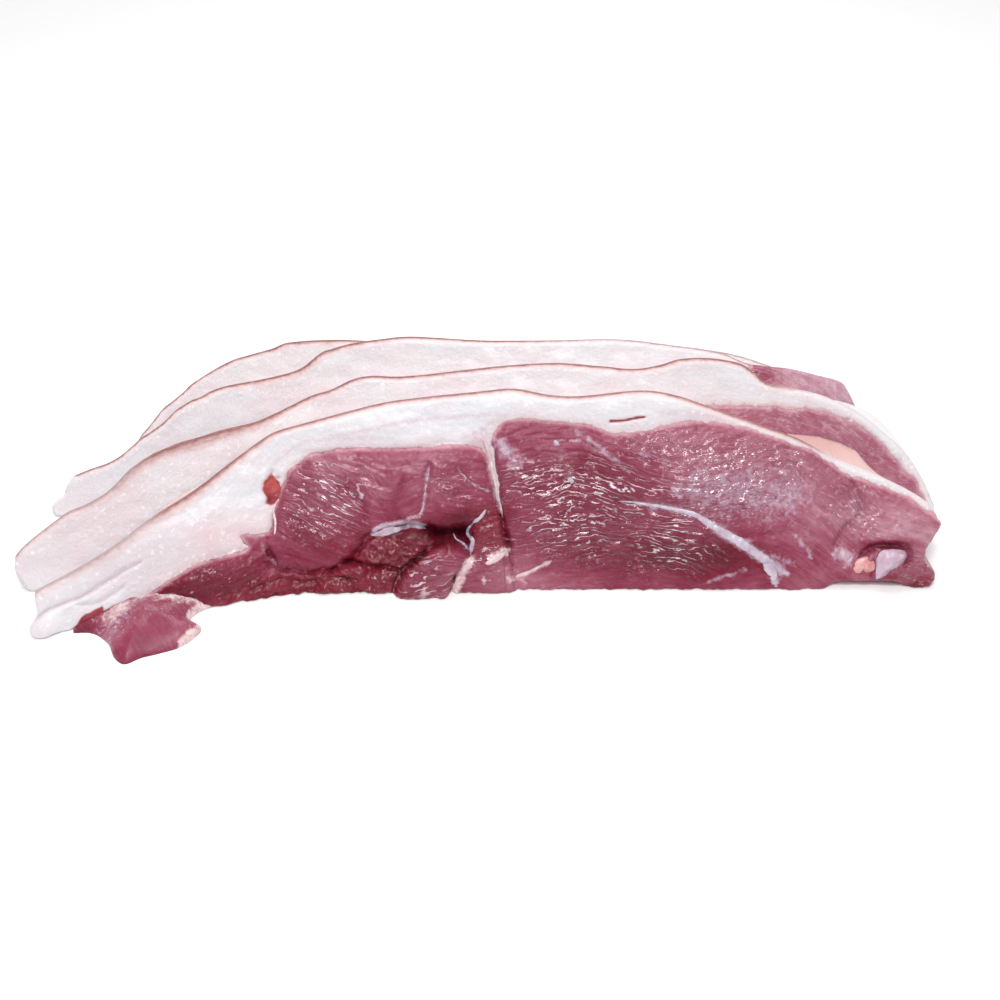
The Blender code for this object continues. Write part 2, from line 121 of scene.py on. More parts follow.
def inside(points: np.ndarray, ring: np.ndarray) -> np.ndarray:
    """Which points lie inside a closed ring.

    Args:
        points: one row each, in millimetres.
        ring: the closed ring.

    Returns:
        True or false for each point.
    """
    found = np.zeros(len(points), bool)
    low, high = ring.min(axis=0), ring.max(axis=0)
    near = np.flatnonzero(((points >= low) & (points <= high)).all(axis=1))
    x0, y0 = ring[:, 0], ring[:, 1]
    x1, y1 = np.roll(x0, -1), np.roll(y0, -1)
    rise = np.where(y1 == y0, 1.0, y1 - y0)
    for part in np.array_split(near, max(1, len(near) // AT_ONCE)):
        x, y = points[part, 0][:, None], points[part, 1][:, None]
        at = x0 + (y - y0) * (x1 - x0) / rise
        found[part] = (((y0 > y) != (y1 > y)) & (x < at)).sum(axis=1) % 2 == 1
    return found


def distance(points: np.ndarray, line: np.ndarray, reach: float) -> np.ndarray:
    """How far points are from an open polyline.

    Args:
        points: one row each, in millimetres.
        line: the polyline.
        reach: farther points get this distance.

    Returns:
        One distance for each point.
    """
    found = np.full(len(points), float(reach))
    low, high = line.min(axis=0) - reach, line.max(axis=0) + reach
    near = np.flatnonzero(((points >= low) & (points <= high)).all(axis=1))
    start, run = line[:-1], np.diff(line, axis=0)
    square = (run * run).sum(axis=1)
    for part in np.array_split(near, max(1, len(near) // AT_ONCE)):
        off = points[part][:, None] - start
        along = np.clip((off * run).sum(axis=2) / square, 0, 1)
        away = off - along[..., None] * run
        found[part] = np.minimum(np.sqrt((away * away).sum(axis=2).min(axis=1)), reach)
    return found


def stroke(points: np.ndarray, path: Path, half_width: float, sharp: float = 2.0) -> np.ndarray:
    """How much a stroke covers each point, from 0 to 1, thinning out at its ends.

    Args:
        points: one row each, in millimetres.
        path: what the stroke follows.
        half_width: how far it reaches to each side at its middle.
        sharp: how sharply its sides end.

    Returns:
        The cover of each point.
    """
    line = smooth_curve(path, 1.0)
    reach = 3 * half_width
    away = distance(points, line, reach)
    found = np.zeros(len(points))
    near = np.flatnonzero(away < reach)
    spot = ((points[near][:, None] - line) ** 2).sum(axis=2).argmin(axis=1) / (len(line) - 1)
    width = half_width * np.clip(0.35 + 1.3 * np.sqrt(np.sin(math.pi * spot) + 0.02), 0.3, 1.0)
    found[near] = np.exp(-(away[near] / width) ** sharp)
    return found


def signed(points: np.ndarray, ring: np.ndarray, reach: float) -> np.ndarray:
    """Distance to a closed ring, positive inside it."""
    away = distance(points, np.vstack([ring, ring[:1]]), reach)
    return np.where(inside(points, ring), away, -away)


def blob(points: np.ndarray, x: float, v: float, long: float, tall: float) -> np.ndarray:
    """A soft oval spot that is 1 at its middle."""
    return np.exp(-((points[:, 0] - x) / long) ** 2 - ((points[:, 1] - v) / tall) ** 2)


def spots(points: np.ndarray, ovals: Sequence[tuple[float, ...]]) -> np.ndarray:
    """The sum of several soft oval spots."""
    return sum(blob(points, *oval) for oval in ovals)


def strongest(points: np.ndarray, strokes: Sequence[tuple]) -> np.ndarray:
    """The strongest of several strokes over each point.

    Args:
        points: one row each, in millimetres.
        strokes: a path, a half width and a strength each.

    Returns:
        One strength for each point, 0 where no stroke is.
    """
    found = np.zeros(len(points))
    for path, half_width, strength in strokes:
        found = np.maximum(found, strength * stroke(points, path, half_width))
    return found


def quarter_round(share: np.ndarray) -> np.ndarray:
    """The height of a quarter circle, from 0 at its foot to 1 at share 1."""
    return np.sqrt(1 - (1 - share) ** 2)


class Noise:
    """Smooth random heights over a plane, the same on every run."""

    def __init__(self, seed: int) -> None:
        """Draw the table of slopes."""
        random = np.random.default_rng(seed)
        self.order = random.permutation(256)
        self.turn = random.uniform(0, 2 * math.pi, 256)

    def at(self, x: np.ndarray, y: np.ndarray) -> np.ndarray:
        """Heights over a plane.

        Args:
            x: places along the plane, with bumps about one unit across.
            y: places up the plane.

        Returns:
            Heights from about -1 to 1.
        """
        column, row = np.floor(x).astype(int), np.floor(y).astype(int)
        fx, fy = x - column, y - row

        def corner(right: int, up: int) -> np.ndarray:
            """The slope at one corner of the cell, as a height here."""
            spot = self.order[(self.order[(column + right) % 256] + row + up) % 256]
            return np.cos(self.turn[spot]) * (fx - right) + np.sin(self.turn[spot]) * (fy - up)

        u, w = (f**3 * (f * (6 * f - 15) + 10) for f in (fx, fy))
        low = corner(0, 0) * (1 - u) + corner(1, 0) * u
        high = corner(0, 1) * (1 - u) + corner(1, 1) * u
        return 1.5 * (low * (1 - w) + high * w)


# ------------------------------------------------------- the drawing of a slice
@dataclass(frozen=True)
class Drawing:
    """Where the slices stand and how their cut faces lie.

    A place on a cut face is x, along the slice, and v, up the leaning face from
    the floor, in millimetres. The share runs from 0 at the front cut to 1 at the
    back cut.
    """

    lean: float = math.radians(36.0)
    pitch: float = 21.4
    gap: float = 0.35
    tail_start: float = -72.0
    tail_end: float = -170.0
    tail_curve: float = 1.15
    tail_fan: tuple[float, ...] = (-27.0, -22.0, 0.0, 0.0)
    tail_thins: tuple[float, float] = (-184.0, -122.0)
    tip_share: tuple[float, ...] = (0.75, 0.6, 0.3, 0.3)
    most_fall: float = 0.8
    full_relief_v: float = 12.0
    middle: tuple[float, float] = (-6.021, 35.693)

    def foot(self, number: int, x: np.ndarray) -> np.ndarray:
        """Depth of a slice's front foot at x, with the tails fanned forward."""
        share = np.maximum(self.tail_start - x, 0) / (self.tail_start - self.tail_end)
        return number * self.pitch + self.tail_fan[number] * share**self.tail_curve

    def thickness(self, number: int, x: np.ndarray) -> np.ndarray:
        """Front to back size of a slice along the floor at x."""
        tip = self.tip_share[number]
        return (self.pitch - self.gap) * (tip + (1 - tip) * ramp(x, *self.tail_thins))

    def fall(self, number: int, x: np.ndarray) -> np.ndarray:
        """Share of its height that a face loses from front cut to back cut.

        Args:
            number: which slice, from 0 at the front.
            x: places along the slice.

        Returns:
            One share for each place.
        """
        slope = np.interp(x, *zip(*SKIN_SLOPES[number]))
        top = np.interp(x, *zip(*SKIN_LINES[number]))
        return np.minimum(slope * self.thickness(number, x) / top, self.most_fall)

    def place(self, number: int, corners: np.ndarray, share: np.ndarray,
              forward: np.ndarray) -> np.ndarray:
        """Places in the frame of points of a slice.

        Args:
            number: which slice, from 0 at the front.
            corners: x and v of each point.
            share: how far through the slice each point is.
            forward: how far each point stands out of its face, in millimetres.

        Returns:
            One place for each point, in metres.
        """
        x = corners[:, 0]
        v = corners[:, 1] * (1 - self.fall(number, x) * share)
        outward = forward * math.cos(self.lean)
        depth = self.foot(number, x) + share * self.thickness(number, x) - outward
        lifted = forward * math.sin(self.lean) * ramp(v, 0, self.full_relief_v)
        up = v * math.cos(self.lean) + lifted
        back = depth + v * math.sin(self.lean)
        return np.column_stack([x - self.middle[0], back - self.middle[1], up]) * MM


DRAWING = Drawing()
BELOW = -6.0
SKIN_LINES: tuple[Path, ...] = (
    ((-166.5, 17), (-153, 22), (-139, 28.5), (-127, 36), (-113, 43), (-99, 52), (-85, 60),
     (-73, 62.5), (-58, 66.5), (-44, 70), (-30, 72), (-10, 74), (5, 75.3), (18, 73), (30, 72.5),
     (52, 74.6), (65, 73), (78, 68.7), (97, 62), (112, 56.5), (127, 48.5), (143, 42.3), (154, 37),
     (161, 32.3), (165, 27)),
    ((-180.2, 15.5), (-178, 17.8), (-173, 21.7), (-163, 28), (-157, 29.9), (-152, 31.9),
     (-148, 34.3), (-145, 36.8), (-140, 41.5), (-133, 45.5), (-129, 46.9), (-122, 48.9),
     (-115, 50), (-107, 51.7), (-96, 53), (-88, 55.4), (-74, 61), (-66, 63.4), (-58, 67.2),
     (-50, 68.8), (-35, 68.8), (0, 72.6), (22, 73.8), (39, 72.6), (52, 71.5), (62, 73), (70, 75.3),
     (81, 75.7), (93, 73.8), (99, 70), (104, 66), (114, 64), (126, 61), (139, 55), (150, 46.5),
     (159, 38), (165.5, 28), (169.5, 19)),
    ((-172.5, 17.5), (-166.7, 19.8), (-161, 21.7), (-157, 23.5), (-153.5, 25.8), (-149.3, 29.3),
     (-146, 32.3), (-141, 35.6), (-137, 38.5), (-132, 43.3), (-129, 45.5), (-125, 47.8),
     (-121, 49.3), (-117, 51.6), (-110, 53.8), (-101, 55.4), (-93, 57), (-85, 59), (-80, 61.1),
     (-76, 64.2), (-72, 67.2), (-68, 68.6), (-60, 70.7), (-48, 72.5), (-35, 73.5), (-8, 72),
     (20, 72), (48, 72.4), (72, 69.7), (89, 67.1), (101, 62.5), (117, 60.6), (129, 57.8),
     (138, 55.2), (142, 50), (146, 42), (152, 34), (157, 24)),
    ((-166, 3), (-162, 7.5), (-157, 13), (-153.5, 18.3), (-151, 22), (-148, 25.5), (-145, 29.3),
     (-142, 32.9), (-138, 35.9), (-133, 40.2), (-130, 43), (-122, 48.2), (-113, 52.9),
     (-105, 55.4), (-96, 57.9), (-88, 60.6), (-66, 61.6), (-30, 60), (60, 59.5), (90, 57),
     (110, 52), (125, 45), (136, 34), (141, 21)),
)
RIGHT_ENDS: tuple[Path, ...] = (
    ((165, 27), (165.5, 24.5), (162, 19), (159, 14), (160, 10), (163, 6), (162, 1.5), (158, 0)),
    ((169.5, 19), (168, 11), (165, 3.5), (160, 0)),
    ((157, 24), (159, 12), (157, 3), (154, 0)),
    ((141, 21), (141, 9), (139, 3), (135, 0)),
)
LEFT_TIPS: tuple[Path, ...] = (
    ((-157, 0), (-164.5, 0), (-167.5, 2.4), (-166.6, 5.5), (-165.3, 7), (-166, 12.5), (-166.5, 17)),
    ((-168, 0), (-174.4, 0.6), (-177, 2.8), (-179, 6), (-180.2, 10), (-180.2, 15.5)),
    ((-170, 0), (-178.4, 0.3), (-181, 1.4), (-181.7, 3.6), (-181, 5.7), (-178.2, 7.9),
     (-176.6, 9), (-176.4, 11.1), (-174.4, 14.9), (-172.5, 17.5)),
    ((-158, 0), (-166, 0.3), (-167.5, 1.6), (-166, 3)),
)
SKIN_SLOPES: tuple[Path, ...] = (
    ((-170, 0.6), (-145, 0.5), (-120, 0.42), (-98, 0.5), (-75, 0.68), (78, 0.68), (97, 0.62),
     (108, 0.55), (114, 0.44), (124, 0.22), (132, 0.17), (138, 0.2), (143, 0.4), (149, 0.62)),
    ((-183, 0.6), (-130, 0.62), (-108, 0.5), (-88, 0.55), (-65, 0.68), (120, 0.68), (150, 0.2)),
    ((-180, 0.7), (150, 0.7)),
    ((-180, 1.0), (140, 1.0)),
)
LEFT_MUSCLES: Path = (
    (-112, BELOW), (-112, 1), (-119, 6), (-128, 7), (-122, 11), (-113, 15), (-105, 17),
    (-97, 17.5), (-93, 19), (-96, 24), (-91, 23.5), (-86, 24), (-84, 31), (-82, 37), (-80, 42),
    (-75, 48), (-67, 51.5), (-55, 52.8), (-30, 53.2), (-15, 54), (-8.3, 53.4), (-5, 49.5),
    (-3, 43), (-1.4, 36), (0.3, 30), (2, 22), (4, 12), (5, 4), (5.5, BELOW),
)
RIGHT_MUSCLES: Path = (
    (1, BELOW), (0, 6), (-0.5, 14), (0, 22), (1.2, 29), (-0.2, 36), (-1, 44), (-2.5, 52),
    (-3, 57), (1, 62.5), (8, 64), (20, 63), (33, 61.5), (42, 58.5), (52, 59.5), (62, 61.5),
    (73, 63), (84, 62), (95, 59.5), (108, 55), (118, 51), (128, 44), (139, 40), (152, 35),
    (160, 29.5), (166, 25.5), (176, 20), (176, BELOW),
)
CARTILAGE: Path = ((139.8, 12), (141.6, 14.8), (145, 15.4), (150.4, 15), (151, 12.4), (148.6, 10),
                   (145.5, 7.6), (142, 5), (140, 4.6))
BEHIND_MUSCLES: tuple[Path, ...] = (
    ((-104, BELOW), (-100, 14), (-88, 24), (-80, 42), (-66, 51), (-30, 54), (5, 56),
     (40, 56), (62, 57), (87, 57), (109, 56.5), (124, 55), (136, 51.5), (145, 45.5), (152, 38.5),
     (160, 29.5), (166, 20), (168, 15), (180, BELOW)),
    ((-104, BELOW), (-100, 14), (-88, 24), (-80, 42), (-66, 50), (-30, 52), (30, 52),
     (80, 52), (96, 56), (103, 64), (118, 68), (175, 60), (175, BELOW)),
    ((-102, BELOW), (-96, 16), (-84, 30), (-74, 42), (-40, 46), (40, 46), (85, 46),
     (106, 42), (122, 36), (132, 26), (136, 14), (142, BELOW)),
)


@dataclass
class FlowField:
    """Which way the fibres run, as two maps that count millimetres along and across them.

    Guides are x, v and the fibre's angle there in degrees.
    """

    guides: Sequence[tuple[float, float, float]]
    softness: float = 5.0
    low: tuple[float, float] = (-192.0, -36.0)
    high: tuple[float, float] = (184.0, 88.0)
    along: np.ndarray = field(init=False)
    across: np.ndarray = field(init=False)

    def __post_init__(self) -> None:
        """Spread the guides over a grid and add them up into the two maps."""
        x = np.arange(self.low[0], self.high[0])
        v = np.arange(self.low[1], self.high[1])
        grid_x, grid_v = np.meshgrid(x, v)
        run, rise = np.zeros_like(grid_x), np.zeros_like(grid_x)
        for at_x, at_v, degrees in self.guides:
            weight = ((grid_x - at_x) ** 2 + (grid_v - at_v) ** 2 + self.softness**2) ** -1.7
            run += weight * math.cos(math.radians(degrees))
            rise += weight * math.sin(math.radians(degrees))
        length = np.hypot(run, rise)
        run, rise = run / length, rise / length
        self.along = self.added_up(run, rise)
        self.across = self.added_up(-rise, run)

    @staticmethod
    def added_up(slope_x: np.ndarray, slope_v: np.ndarray) -> np.ndarray:
        """The height map whose slopes come nearest to the given ones.

        Args:
            slope_x: slope along x at each place of the grid.
            slope_v: slope along v at each place of the grid.

        Returns:
            The heights on the same grid.
        """
        mirrored_x = np.block([[slope_x, -slope_x[:, ::-1]], [slope_x[::-1], -slope_x[::-1, ::-1]]])
        mirrored_v = np.block([[slope_v, slope_v[:, ::-1]], [-slope_v[::-1], -slope_v[::-1, ::-1]]])
        wave_x = 2 * math.pi * np.fft.fftfreq(mirrored_x.shape[1])[None, :]
        wave_v = 2 * math.pi * np.fft.fftfreq(mirrored_x.shape[0])[:, None]
        square = wave_x**2 + wave_v**2
        square[0, 0] = 1
        slopes = wave_x * np.fft.fft2(mirrored_x) + wave_v * np.fft.fft2(mirrored_v)
        spectrum = -1j * slopes / square
        return np.fft.ifft2(spectrum).real[:slope_x.shape[0], :slope_x.shape[1]]

    def at(self, corners: np.ndarray) -> np.ndarray:
        """Millimetres along and across the fibres.

        Args:
            corners: x and v of each point.

        Returns:
            One row for each corner.
        """
        x = np.clip(corners[:, 0] - self.low[0], 0, self.along.shape[1] - 1.001)
        v = np.clip(corners[:, 1] - self.low[1], 0, self.along.shape[0] - 1.001)
        column, row = x.astype(int), v.astype(int)
        fx, fv = x - column, v - row
        return np.column_stack([
            (grid[row, column] * (1 - fx) + grid[row, column + 1] * fx) * (1 - fv)
            + (grid[row + 1, column] * (1 - fx) + grid[row + 1, column + 1] * fx) * fv
            for grid in (self.along, self.across)])


LEFT_FLOW = FlowField((
    (-77, 40, -48), (-66, 46, -42), (-50, 48, -40), (-30, 48, -32), (-14, 48, -42),
    (-72, 33, -44), (-60, 36, -56), (-51, 34, -60), (-44, 40, -55), (-79, 26, -6),
    (-68, 22, -12), (-58, 25, -22), (-70, 12, 16), (-57, 15, 42), (-36, 36, 50), (-20, 40, -45),
    (-9, 42, -52), (-117, 10, 14), (-98, 12, 24), (-96, 4, 50), (-80, 3, 10), (-60, 4, -5),
    (-46, 4, 8), (-44, 15, 10), (-34, 16, 0), (-31, 3, 56), (-24, 12, 48), (-5, 5, 24),
    (-4, 20, 78), (-91, 21, 80), (-150, 3, 20),
))
RIGHT_FLOW = FlowField((
    (4, 52, 22), (20, 57, 2), (40, 52, -38), (50, 44, -42), (8, 42, 14), (24, 41, 2),
    (36, 38, -26), (44, 34, -48), (8, 30, 2), (14, 22, 4), (30, 20, 8), (46, 18, 9),
    (25, 12, 12), (40, 9, 16), (16, 5, 24), (60, 4, 2), (90, 5, 20), (62, 24, -30),
    (76, 18, -55), (84, 10, -62), (70, 10, -20), (62, 44, -25), (66, 54, 30), (80, 46, 48),
    (94, 48, 42), (82, 36, -12), (98, 33, -8), (112, 30, -32), (120, 42, -38), (104, 20, -44),
    (116, 12, -50), (134, 30, -60), (146, 25, -14), (152, 14, -20), (150, 3, -6),
))
FAT_FLOW = FlowField((
    (-160, 10, 25), (-150, 20, 34), (-120, 38, 32), (-90, 54, 30), (-60, 64, 12), (-20, 70, 3),
    (30, 68, 0), (70, 67, -12), (100, 58, -24), (140, 40, -33), (-90, 35, 60), (-120, 22, 28),
), softness=12.0)


class Slots(Enum):
    """Kinds of material, whose names also end the names of some pieces and CAD parts."""

    FAT = "fat"
    LEAN = "lean"
    CARTILAGE = "cartilage"


# --------------------------------------------------------- patches into solids
@dataclass
class Patch:
    """Triangles over one region of a cut face, with the loops round it."""

    corners: np.ndarray
    triangles: np.ndarray
    loops: list[np.ndarray]

    @classmethod
    def of(cls, corners: np.ndarray, triangles: np.ndarray) -> "Patch":
        """A patch of only the corners that its triangles use."""
        used, numbers = np.unique(triangles, return_inverse=True)
        triangles = numbers.reshape(-1, 3)
        return cls(corners[used], triangles, cls.loops_of(triangles))

    @staticmethod
    def loops_of(triangles: np.ndarray) -> list[np.ndarray]:
        """The closed loops round a patch.

        Args:
            triangles: three corner numbers a row.

        Returns:
            Corner numbers of each loop, the longest loop first.
        """
        count = int(triangles.max()) + 1
        start = triangles.ravel()
        end = np.roll(triangles, -1, axis=1).ravel()
        key, back = start * count + end, end * count + start
        open_edges = ~np.isin(key, back)
        follows = dict(zip(start[open_edges].tolist(), end[open_edges].tolist()))
        loops = []
        while follows:
            first = next(iter(follows))
            loop = [first]
            step = follows.pop(first)
            while step != first:
                loop.append(step)
                step = follows.pop(step)
            loops.append(np.array(loop))
        return sorted(loops, key=len, reverse=True)


def grid_points(ring: np.ndarray, spacing: float) -> np.ndarray:
    """Points of a triangular grid inside a closed ring.

    Args:
        ring: the closed ring.
        spacing: the distance between neighbouring points.

    Returns:
        The points, one row each.
    """
    low, high = ring.min(axis=0), ring.max(axis=0)
    height = spacing * math.sqrt(0.75)
    rows = []
    for row, v in enumerate(np.arange(low[1] + height / 2, high[1], height)):
        across = np.arange(low[0] + spacing / 2 * (row % 2), high[0], spacing)
        x0, y0 = ring[:, 0], ring[:, 1]
        x1, y1 = np.roll(x0, -1), np.roll(y0, -1)
        crossed = (y0 > v) != (y1 > v)
        at = np.sort(x0[crossed] + (v - y0[crossed]) * (x1 - x0)[crossed] / (y1 - y0)[crossed])
        across = across[np.searchsorted(at, across) % 2 == 1]
        rows.append(np.column_stack([across, np.full(len(across), v)]))
    return np.vstack(rows)


def clear_of(points: np.ndarray, borders: Sequence[np.ndarray], room: float) -> np.ndarray:
    """The points that keep their distance from every border point.

    Args:
        points: one row each, in millimetres.
        borders: the border points.
        room: the least distance.

    Returns:
        The points that are left.
    """
    marks = np.vstack(borders)
    tree = KDTree(len(marks))
    for index, (x, v) in enumerate(marks):
        tree.insert((x, v, 0.0), index)
    tree.balance()
    kept = [tree.find((x, v, 0.0))[2] > room for x, v in points]
    return points[np.array(kept, bool)]


def turns_left(ring: np.ndarray) -> bool:
    """Whether a closed ring runs counterclockwise."""
    x, y = ring.T
    return float((x * np.roll(y, -1) - np.roll(x, -1) * y).sum()) > 0


def triangulated(rings: Sequence[np.ndarray], extra: np.ndarray) -> tuple[np.ndarray, ...]:
    """Triangles over rings and extra points.

    Args:
        rings: closed rings whose edges are kept. The first holds all the others.
        extra: the points between them.

    Returns:
        Corners, triangles, and for each triangle the last ring that holds it.
    """
    points = [Vector(p) for ring in rings for p in ring] + [Vector(p) for p in extra]
    starts = np.cumsum([0] + [len(ring) for ring in rings])
    areas = [list(range(a, b))[::1 if turns_left(ring) else -1]
             for ring, a, b in zip(rings, starts, starts[1:])]
    verts, _, faces, _, _, held = delaunay_2d_cdt(points, [], areas, 0, 1e-5, True)
    corners = np.array([(vert.x, vert.y) for vert in verts])
    label = np.array([max(ids, default=-1) for ids in held])
    triangles = np.array([list(face) for face in faces])
    a, b, c = (corners[triangles[:, i]] for i in range(3))
    ab, ac = b - a, c - a
    flipped = ab[:, 0] * ac[:, 1] - ab[:, 1] * ac[:, 0] < 0
    triangles[flipped] = triangles[flipped][:, ::-1]
    return corners, triangles, label


@dataclass
class Shell:
    """All corners of one closed solid: x and v, share through the slice, and faces."""

    corners: np.ndarray
    share: np.ndarray
    faces: np.ndarray

    @classmethod
    def through(cls, patch: Patch, steps: int, fine_back: bool) -> "Shell":
        """The solid that a patch makes when it runs through its slice.

        Args:
            patch: the region on the cut face.
            steps: rings of corners on the outer wall, from front to back.
            fine_back: whether the back keeps the front's triangles.

        Returns:
            The shell, with faces that look outward.
        """
        count = len(patch.corners)
        if fine_back:
            back, tops = patch.corners, patch.triangles
            rims = [loop + count for loop in patch.loops]
        else:
            rings = [patch.corners[loop] for loop in patch.loops]
            extra = clear_of(grid_points(rings[0], BACK_SPACING), rings, BACK_SPACING / 2)
            for hole in rings[1:]:
                extra = extra[~inside(extra, hole)]
            back, tops, label = triangulated(rings, extra)
            tops = tops[label == 0]
            starts = np.cumsum([0] + [len(ring) for ring in rings])
            rims = [np.arange(a, b) + count for a, b in zip(starts, starts[1:])]
        corners, share = [patch.corners, back], [np.zeros(count), np.ones(len(back))]
        faces = [patch.triangles, tops[:, ::-1] + count]
        top = count + len(back)
        for loop, rim in zip(patch.loops, rims):
            rows = [loop]
            wall_steps = steps if loop is patch.loops[0] else 1
            for step in range(1, wall_steps):
                corners.append(patch.corners[loop])
                share.append(np.full(len(loop), step / wall_steps))
                rows.append(np.arange(top, top + len(loop)))
                top += len(loop)
            rows.append(rim)
            for near, far in zip(rows, rows[1:]):
                ahead, beyond = np.roll(near, -1), np.roll(far, -1)
                faces.append(np.column_stack([ahead, near, far]))
                faces.append(np.column_stack([ahead, far, beyond]))
        return cls(np.vstack(corners), np.concatenate(share), np.vstack(faces))


def deeper(fibre: np.ndarray, number: int, shell: "Shell") -> np.ndarray:
    """The fibre map drawn on over the walls that run through a slice.

    Args:
        fibre: millimetres along and across the fibres at each corner.
        number: which slice, from 0 at the front.
        shell: the solid's corners.

    Returns:
        The fibre map with the way through the slice added.
    """
    through = shell.share * DRAWING.thickness(number, shell.corners[:, 0])
    return fibre + np.column_stack([through, 0.6 * through])


def mesh_object(name: str, places: np.ndarray, faces: np.ndarray,
                values: dict[str, np.ndarray], fibre: np.ndarray) -> bpy.types.Object:
    """A smooth mesh object with its values and fibre map.

    Args:
        name: the piece's name.
        places: vertices in metres.
        faces: three vertex numbers a row.
        values: numbers that the finish reads, one for each vertex.
        fibre: millimetres along and across the fibres at each vertex.

    Returns:
        The object, linked to the scene.
    """
    mesh = bpy.data.meshes.new(name)
    mesh.vertices.add(len(places))
    mesh.vertices.foreach_set("co", places.astype(np.float32).ravel())
    mesh.loops.add(faces.size)
    mesh.loops.foreach_set("vertex_index", faces.astype(np.int32).ravel())
    mesh.polygons.add(len(faces))
    mesh.polygons.foreach_set("loop_start", np.arange(0, faces.size, 3, dtype=np.int32))
    mesh.update(calc_edges=True)
    mesh.shade_smooth()
    for key, numbers in values.items():
        layer = mesh.attributes.new(key, 'FLOAT', 'POINT')
        layer.data.foreach_set("value", numbers.astype(np.float32))
    layer = mesh.uv_layers.new(name="fibre")
    layer.data.foreach_set("uv", (fibre[faces.ravel()] / 10).astype(np.float32).ravel())
    mesh.validate()
    piece = bpy.data.objects.new(name, mesh)
    bpy.context.scene.collection.objects.link(piece)
    return piece


# -------------------------------------------------------------- node tree tools
class Graph:
    """A node tree in the making, with short calls for its usual nodes."""

    def __init__(self, tree: bpy.types.NodeTree) -> None:
        """Start with an empty tree."""
        self.tree = tree
        tree.nodes.clear()

    def add(self, kind: str, inputs: dict | None = None, **settings: object) -> bpy.types.Node:
        """A new node.

        Args:
            kind: the node's type name.
            inputs: values or sockets by the input's name or number.
            settings: the node's own settings.

        Returns:
            The node.
        """
        node = self.tree.nodes.new(kind)
        for key, value in settings.items():
            setattr(node, key, value)
        for key, value in (inputs or {}).items():
            socket = node.inputs[key]
            if isinstance(value, bpy.types.NodeSocket):
                self.tree.links.new(value, socket)
            else:
                socket.default_value = value
        return node

    def math(self, operation: str, *values: object) -> bpy.types.NodeSocket:
        """The result of a sum."""
        node = self.add("ShaderNodeMath", dict(enumerate(values)), operation=operation)
        return node.outputs[0]

    def times(self, first: object, second: object) -> bpy.types.NodeSocket:
        """Two numbers multiplied."""
        return self.math('MULTIPLY', first, second)

    def plus(self, start: object, value: object, share: object) -> bpy.types.NodeSocket:
        """The start with a share of a value added to it."""
        return self.math('ADD', start, self.times(value, share))

    def blend(self, factor: object, first: object, second: object) -> bpy.types.NodeSocket:
        """A mix of two numbers."""
        return self.add("ShaderNodeMix", {0: factor, 2: first, 3: second}).outputs[0]

    def mix(self, factor: object, first: object, second: object) -> bpy.types.NodeSocket:
        """A mix of two colours.

        Args:
            factor: the share of the second colour.
            first: the colour below.
            second: the colour laid over it.

        Returns:
            The mixed colour.
        """
        node = self.add("ShaderNodeMix", data_type='RGBA', blend_type='MIX')
        for socket, value in zip((node.inputs[0], node.inputs[6], node.inputs[7]),
                                 (factor, first, second)):
            if isinstance(value, bpy.types.NodeSocket):
                self.tree.links.new(value, socket)
            else:
                socket.default_value = value
        return node.outputs[2]

    def step(self, value: object, low: float, high: float, start: float = 0.0,
             end: float = 1.0) -> bpy.types.NodeSocket:
        """A smooth step from start to end as the value goes from low to high."""
        node = self.add("ShaderNodeMapRange", {0: value, 1: low, 2: high, 3: start, 4: end},
                        interpolation_type='SMOOTHSTEP')
        return node.outputs[0]

    def colours(self, value: object,
                stops: Sequence[tuple[float, tuple[float, ...]]]) -> bpy.types.NodeSocket:
        """A colour band read at the value.

        Args:
            value: the place on the band.
            stops: place and colour of each stop.

        Returns:
            The colour.
        """
        node = self.add("ShaderNodeValToRGB", {0: value})
        band = node.color_ramp
        while len(band.elements) < len(stops):
            band.elements.new(0.5)
        for element, (place, colour) in zip(band.elements, stops):
            element.position = place
            element.color = colour
        return node.outputs[0]

    def number(self, name: str) -> bpy.types.NodeSocket:
        """One of the mesh's own numbers."""
        return self.add("ShaderNodeAttribute", attribute_name=name).outputs["Fac"]

    def place(self) -> bpy.types.NodeSocket:
        """The place on the object."""
        return self.add("ShaderNodeTexCoord").outputs["Object"]

    def fibres(self, along: float, across: float, shift: float = 0.0) -> bpy.types.NodeSocket:
        """The fibre map, with one unit for so many millimetres along and across."""
        uv = self.add("ShaderNodeUVMap", uv_map="fibre").outputs[0]
        node = self.add("ShaderNodeMapping", {0: uv, "Scale": (10 / along, 10 / across, 1),
                                              "Location": (shift, shift, shift)})
        return node.outputs[0]

    def noise(self, place: object, scale: float = 1.0, detail: float = 2.0, rough: float = 0.5,
              warp: float = 0.0) -> bpy.types.NodeSocket:
        """Smooth noise from 0 to 1 at a place."""
        node = self.add("ShaderNodeTexNoise", {"Vector": place, "Scale": scale, "Detail": detail,
                                               "Roughness": rough, "Distortion": warp})
        return node.outputs[0]

    def bump(self, height: object) -> bpy.types.NodeSocket:
        """The normal of a fine relief whose height is in millimetres."""
        return self.add("ShaderNodeBump", {"Height": height, "Strength": 1.0,
                                           "Distance": MM}).outputs[0]

    def surface(self, sockets: dict) -> None:
        """End a material in a principled shader with the given sockets."""
        shader = self.add("ShaderNodeBsdfPrincipled", sockets)
        self.add("ShaderNodeOutputMaterial", {"Surface": shader.outputs[0]})


def new_material(name: str) -> tuple[bpy.types.Material, Graph]:
    """A material, and the graph of its empty node tree."""
    material = bpy.data.materials.new(name)
    material.use_nodes = True
    return material, Graph(material.node_tree)


